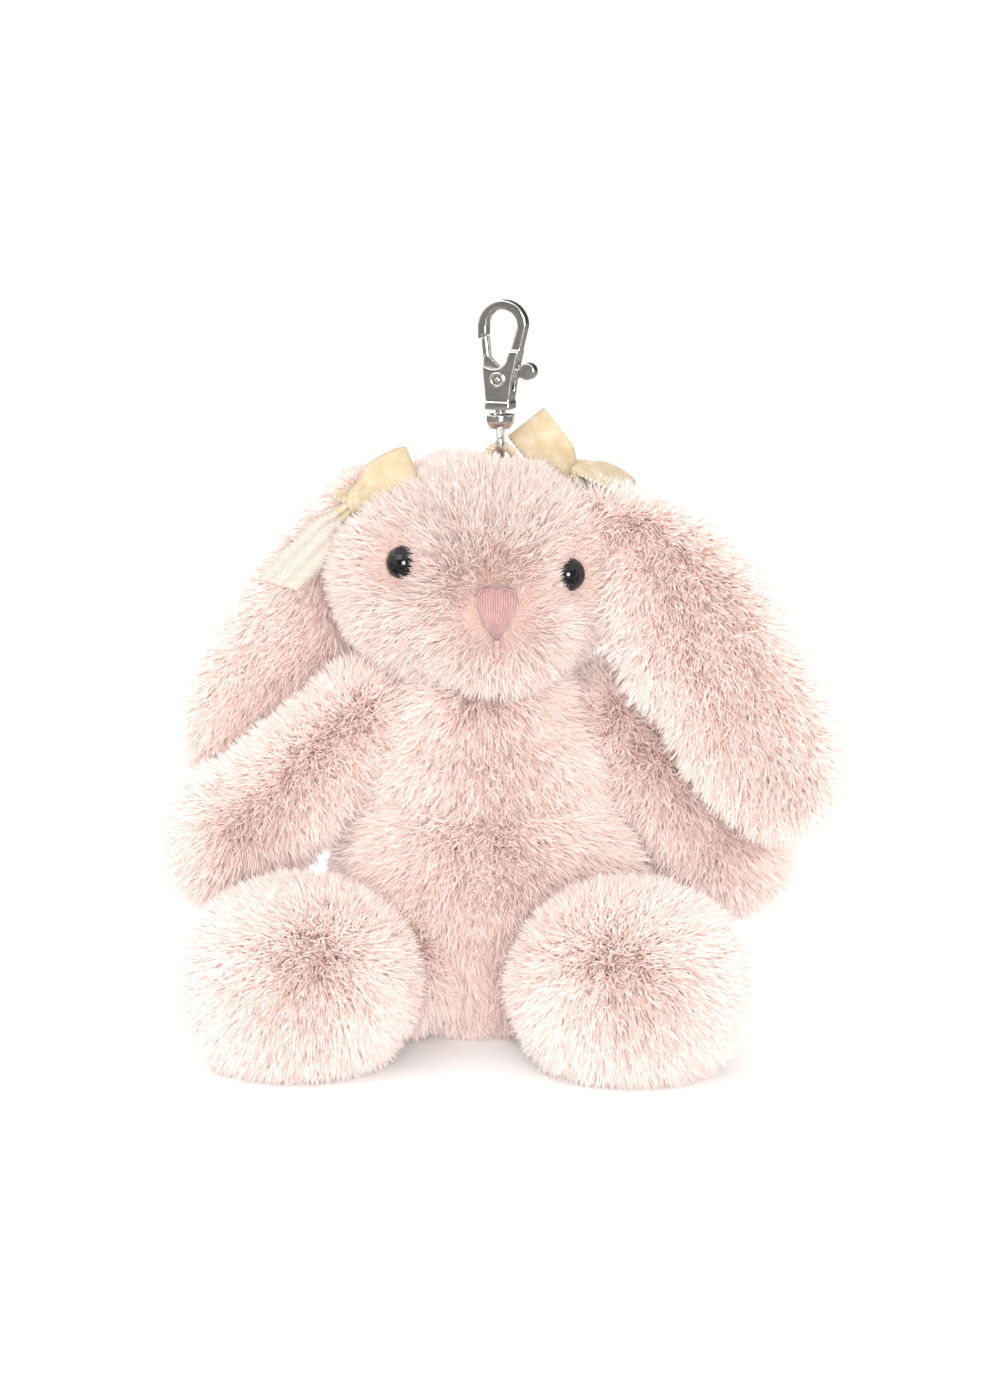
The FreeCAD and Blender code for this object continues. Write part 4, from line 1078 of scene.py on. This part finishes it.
# ---------------------------------------------------------------- snap hook
class BUNNY_OT_snap_hook(bpy.types.Operator):
    """Cast and plated hook, gate lever and swivel, with eased edges"""

    bl_idname = "bunny.snap_hook"
    bl_label = "Snap hook"

    def execute(self, context):
        trim = context.scene.plush_bunny_trim
        plated = nickel_material("Bright nickel", tuple(trim.nickel_colour), trim.nickel_roughness)
        for name, node_name, body, soften in (
            ("hook_casting", "hook_body", "hook", 20),
            ("gate_casting", "gate_lever", "gate", 9),
            ("swivel_casting", "swivel_eye", "swivel", 8),
        ):
            item = remeshed(casting_copy(node_name), name, trim.casting_grain, soften)
            item.data.materials.append(plated)
            finish_piece(item, body, "nickel", node_name)
        set_finish("gate_rivet", plated)
        self.eyelet(plated)
        set_finish("gate_spring", nickel_material("Spring wire", (0.5, 0.49, 0.47), 0.25))
        return {"FINISHED"}


    def eyelet(self, plated):
        """The rolled rim of the rivet and the dimple inside it, on the face of the hook."""
        middle = centre_of("gate_rivet")
        facing = Vector((-math.sin(HOOK_TURN), -math.cos(HOOK_TURN), 0))
        beside = middle + Vector((0, 0, 1.7 * MM)) + facing * 8 * MM
        plate = surface_of("hook_body").ray_cast(beside, -facing)[0]
        face = middle + facing * (plate - middle).dot(facing)
        turn = facing.to_track_quat("Z", "Y").to_matrix().to_4x4()
        bm = bmesh.new()
        rim = bmesh.ops.create_circle(
            bm,
            segments=12,
            radius=0.36 * MM,
            matrix=Matrix.Translation((1.25 * MM, 0, 0.06 * MM)) @ Matrix.Rotation(math.pi / 2, 4, "X"),
        )
        bmesh.ops.spin(
            bm,
            geom=rim["verts"] + own_edges(rim["verts"]),
            cent=(0, 0, 0),
            axis=(0, 0, 1),
            angle=2 * math.pi,
            steps=56,
            use_merge=True,
        )
        dimple = Matrix.Diagonal((0.62 * MM, 0.62 * MM, 0.26 * MM, 1))
        bmesh.ops.create_uvsphere(bm, u_segments=32, v_segments=16, radius=1.0, matrix=dimple)
        bmesh.ops.transform(bm, matrix=Matrix.Translation(face) @ turn, verts=bm.verts)
        bmesh.ops.recalc_face_normals(bm, faces=bm.faces)
        item = as_object("rivet_eyelet", mesh_from(bm, "rivet_eyelet"), plated)
        finish_piece(item, "hook", "nickel")


# ---------------------------------------------------------------- studio
class BUNNY_OT_studio(bpy.types.Operator):
    """White sweep, soft lights and the camera"""

    bl_idname = "bunny.studio"
    bl_label = "Studio"

    def execute(self, context):
        studio, scene = context.scene.plush_bunny_studio, context.scene
        bm = bmesh.new()
        bmesh.ops.create_grid(bm, x_segments=1, y_segments=1, size=3.0)
        paper, tree, shader = new_material("White paper", Roughness=0.9, Specular_IOR_Level=0.1)
        fine = noise(tree, object_place(tree), 0.4, 2.0)
        white = ramp(tree, fine, (0.0, (0.95, 0.95, 0.95)), (1.0, (0.97, 0.97, 0.97)))
        # painted reflection: glossy rays see the floor as dark and grey streaks instead of white, so the plating
        # shows a mottled reflection
        mirrored = add_node(tree, "ShaderNodeLightPath").outputs["Is Glossy Ray"]
        reflection_streaks = noise(tree, object_place(tree), 0.10, 3.0)
        dim = ramp(tree, reflection_streaks, (0.47, (0.02, 0.02, 0.02)), (0.57, (0.5, 0.5, 0.5)))
        paint(tree, shader, blended(tree, mirrored, white, dim))
        floor = as_object("studio_floor", mesh_from(bm, "studio_floor", smooth=False), paper)
        floor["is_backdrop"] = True
        middle = Vector((3.0 * MM, 0, 65.7 * MM))
        world = bpy.data.worlds.new("Soft white")
        scene.world = world
        world.use_nodes = True
        self.sky(world.node_tree, studio.fill)
        for name, place, size, power in (
            ("key", (-0.40, -0.55, 0.75), 0.55, studio.key_power),
            ("front", (0.05, -0.95, 0.24), 0.36, studio.key_power * 4.5),
            ("back", (-0.30, 0.90, 0.45), 0.60, studio.key_power * 2.2),
        ):
            light = bpy.data.lights.new(name, "AREA")
            light.energy, light.size = power, size
            lamp = bpy.data.objects.new(name, light)
            scene.collection.objects.link(lamp)
            lamp.location = place
            lamp.rotation_euler = (middle - Vector(place)).to_track_quat("-Z", "Y").to_euler()
        camera = bpy.data.cameras.new("camera")
        camera.sensor_fit = "VERTICAL"
        camera.sensor_height = 36.0
        camera.lens = 36.0 * studio.distance / studio.frame_height
        camera.clip_start = 0.01
        holder = bpy.data.objects.new("camera", camera)
        scene.collection.objects.link(holder)
        back = Vector((0, -math.cos(studio.elevation), math.sin(studio.elevation)))
        holder.location = middle + back * studio.distance
        holder.rotation_euler = (-back).to_track_quat("-Z", "Y").to_euler()
        scene.camera = holder
        scene.view_settings.view_transform = "Standard"
        return {"FINISHED"}

    def sky(self, tree, strength):
        """White all round; in reflections, a dim room with soft boxes above and at both sides."""
        shade = tree.nodes["Background"]
        way = split(tree, add_node(tree, "ShaderNodeTexCoord").outputs["Generated"])
        boxes = 0.07
        for axis, low, high, power in ((2, 0.42, 0.62, 0.9), (0, -0.55, -0.75, 0.8), (0, 0.72, 0.86, 0.6)):
            reach = {"Value": way[axis], "From Min": low, "From Max": high}
            box = add_node(tree, "ShaderNodeMapRange", reach, interpolation_type="SMOOTHSTEP").outputs[0]
            boxes = maths(tree, "MULTIPLY_ADD", box, power, boxes)
        seen = joined(tree, boxes, boxes, boxes)
        glossy = add_node(tree, "ShaderNodeLightPath").outputs["Is Glossy Ray"]
        tree.links.new(blended(tree, glossy, (1.0, 1.0, 1.0), seen), shade.inputs["Color"])
        shade.inputs["Strength"].default_value = strength


# ---------------------------------------------------------------- panel
OPERATORS = (
    BUNNY_OT_studio,
    BUNNY_OT_torso,
    BUNNY_OT_head,
    BUNNY_OT_ears,
    BUNNY_OT_arms,
    BUNNY_OT_legs,
    BUNNY_OT_face,
    BUNNY_OT_bows,
    BUNNY_OT_hanging_loop,
    BUNNY_OT_snap_hook,
)
SETTINGS = {
    "plush_bunny_plush": PlushSettings,
    "plush_bunny_trim": TrimSettings,
    "plush_bunny_studio": StudioSettings,
}


class BUNNY_PT_panel(bpy.types.Panel):
    """Sizes, colours and the step for each piece"""

    bl_idname = "BUNNY_PT_panel"
    bl_label = "Plush Bunny"
    bl_space_type = "VIEW_3D"
    bl_region_type = "UI"
    bl_category = "Plush Bunny"

    def draw(self, context):
        for pointer, group in SETTINGS.items():
            box = self.layout.box()
            for name in group.__annotations__:
                box.prop(getattr(context.scene, pointer), name)
        for operator in OPERATORS:
            self.layout.operator(operator.bl_idname)


CLASSES = (*SETTINGS.values(), *OPERATORS, BUNNY_PT_panel)


def register():
    for item in CLASSES:
        bpy.utils.register_class(item)
    for pointer, group in SETTINGS.items():
        setattr(bpy.types.Scene, pointer, PointerProperty(type=group))


def unregister():
    for pointer in SETTINGS:
        delattr(bpy.types.Scene, pointer)
    for item in reversed(CLASSES):
        bpy.utils.unregister_class(item)


def main():
    register()
    for operator in OPERATORS:
        group, name = operator.bl_idname.split(".")
        getattr(getattr(bpy.ops, group), name)()
    single_fibre = bpy.data.objects.get("Fibre")
    if single_fibre:
        bpy.data.objects.remove(single_fibre)
    boxes = {"cad": CAD_BOX, "visual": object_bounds()}
    {key: [list(map(float, corner)) for corner in box] for key, box in boxes.items()}


if __name__ == "__main__":
    main()
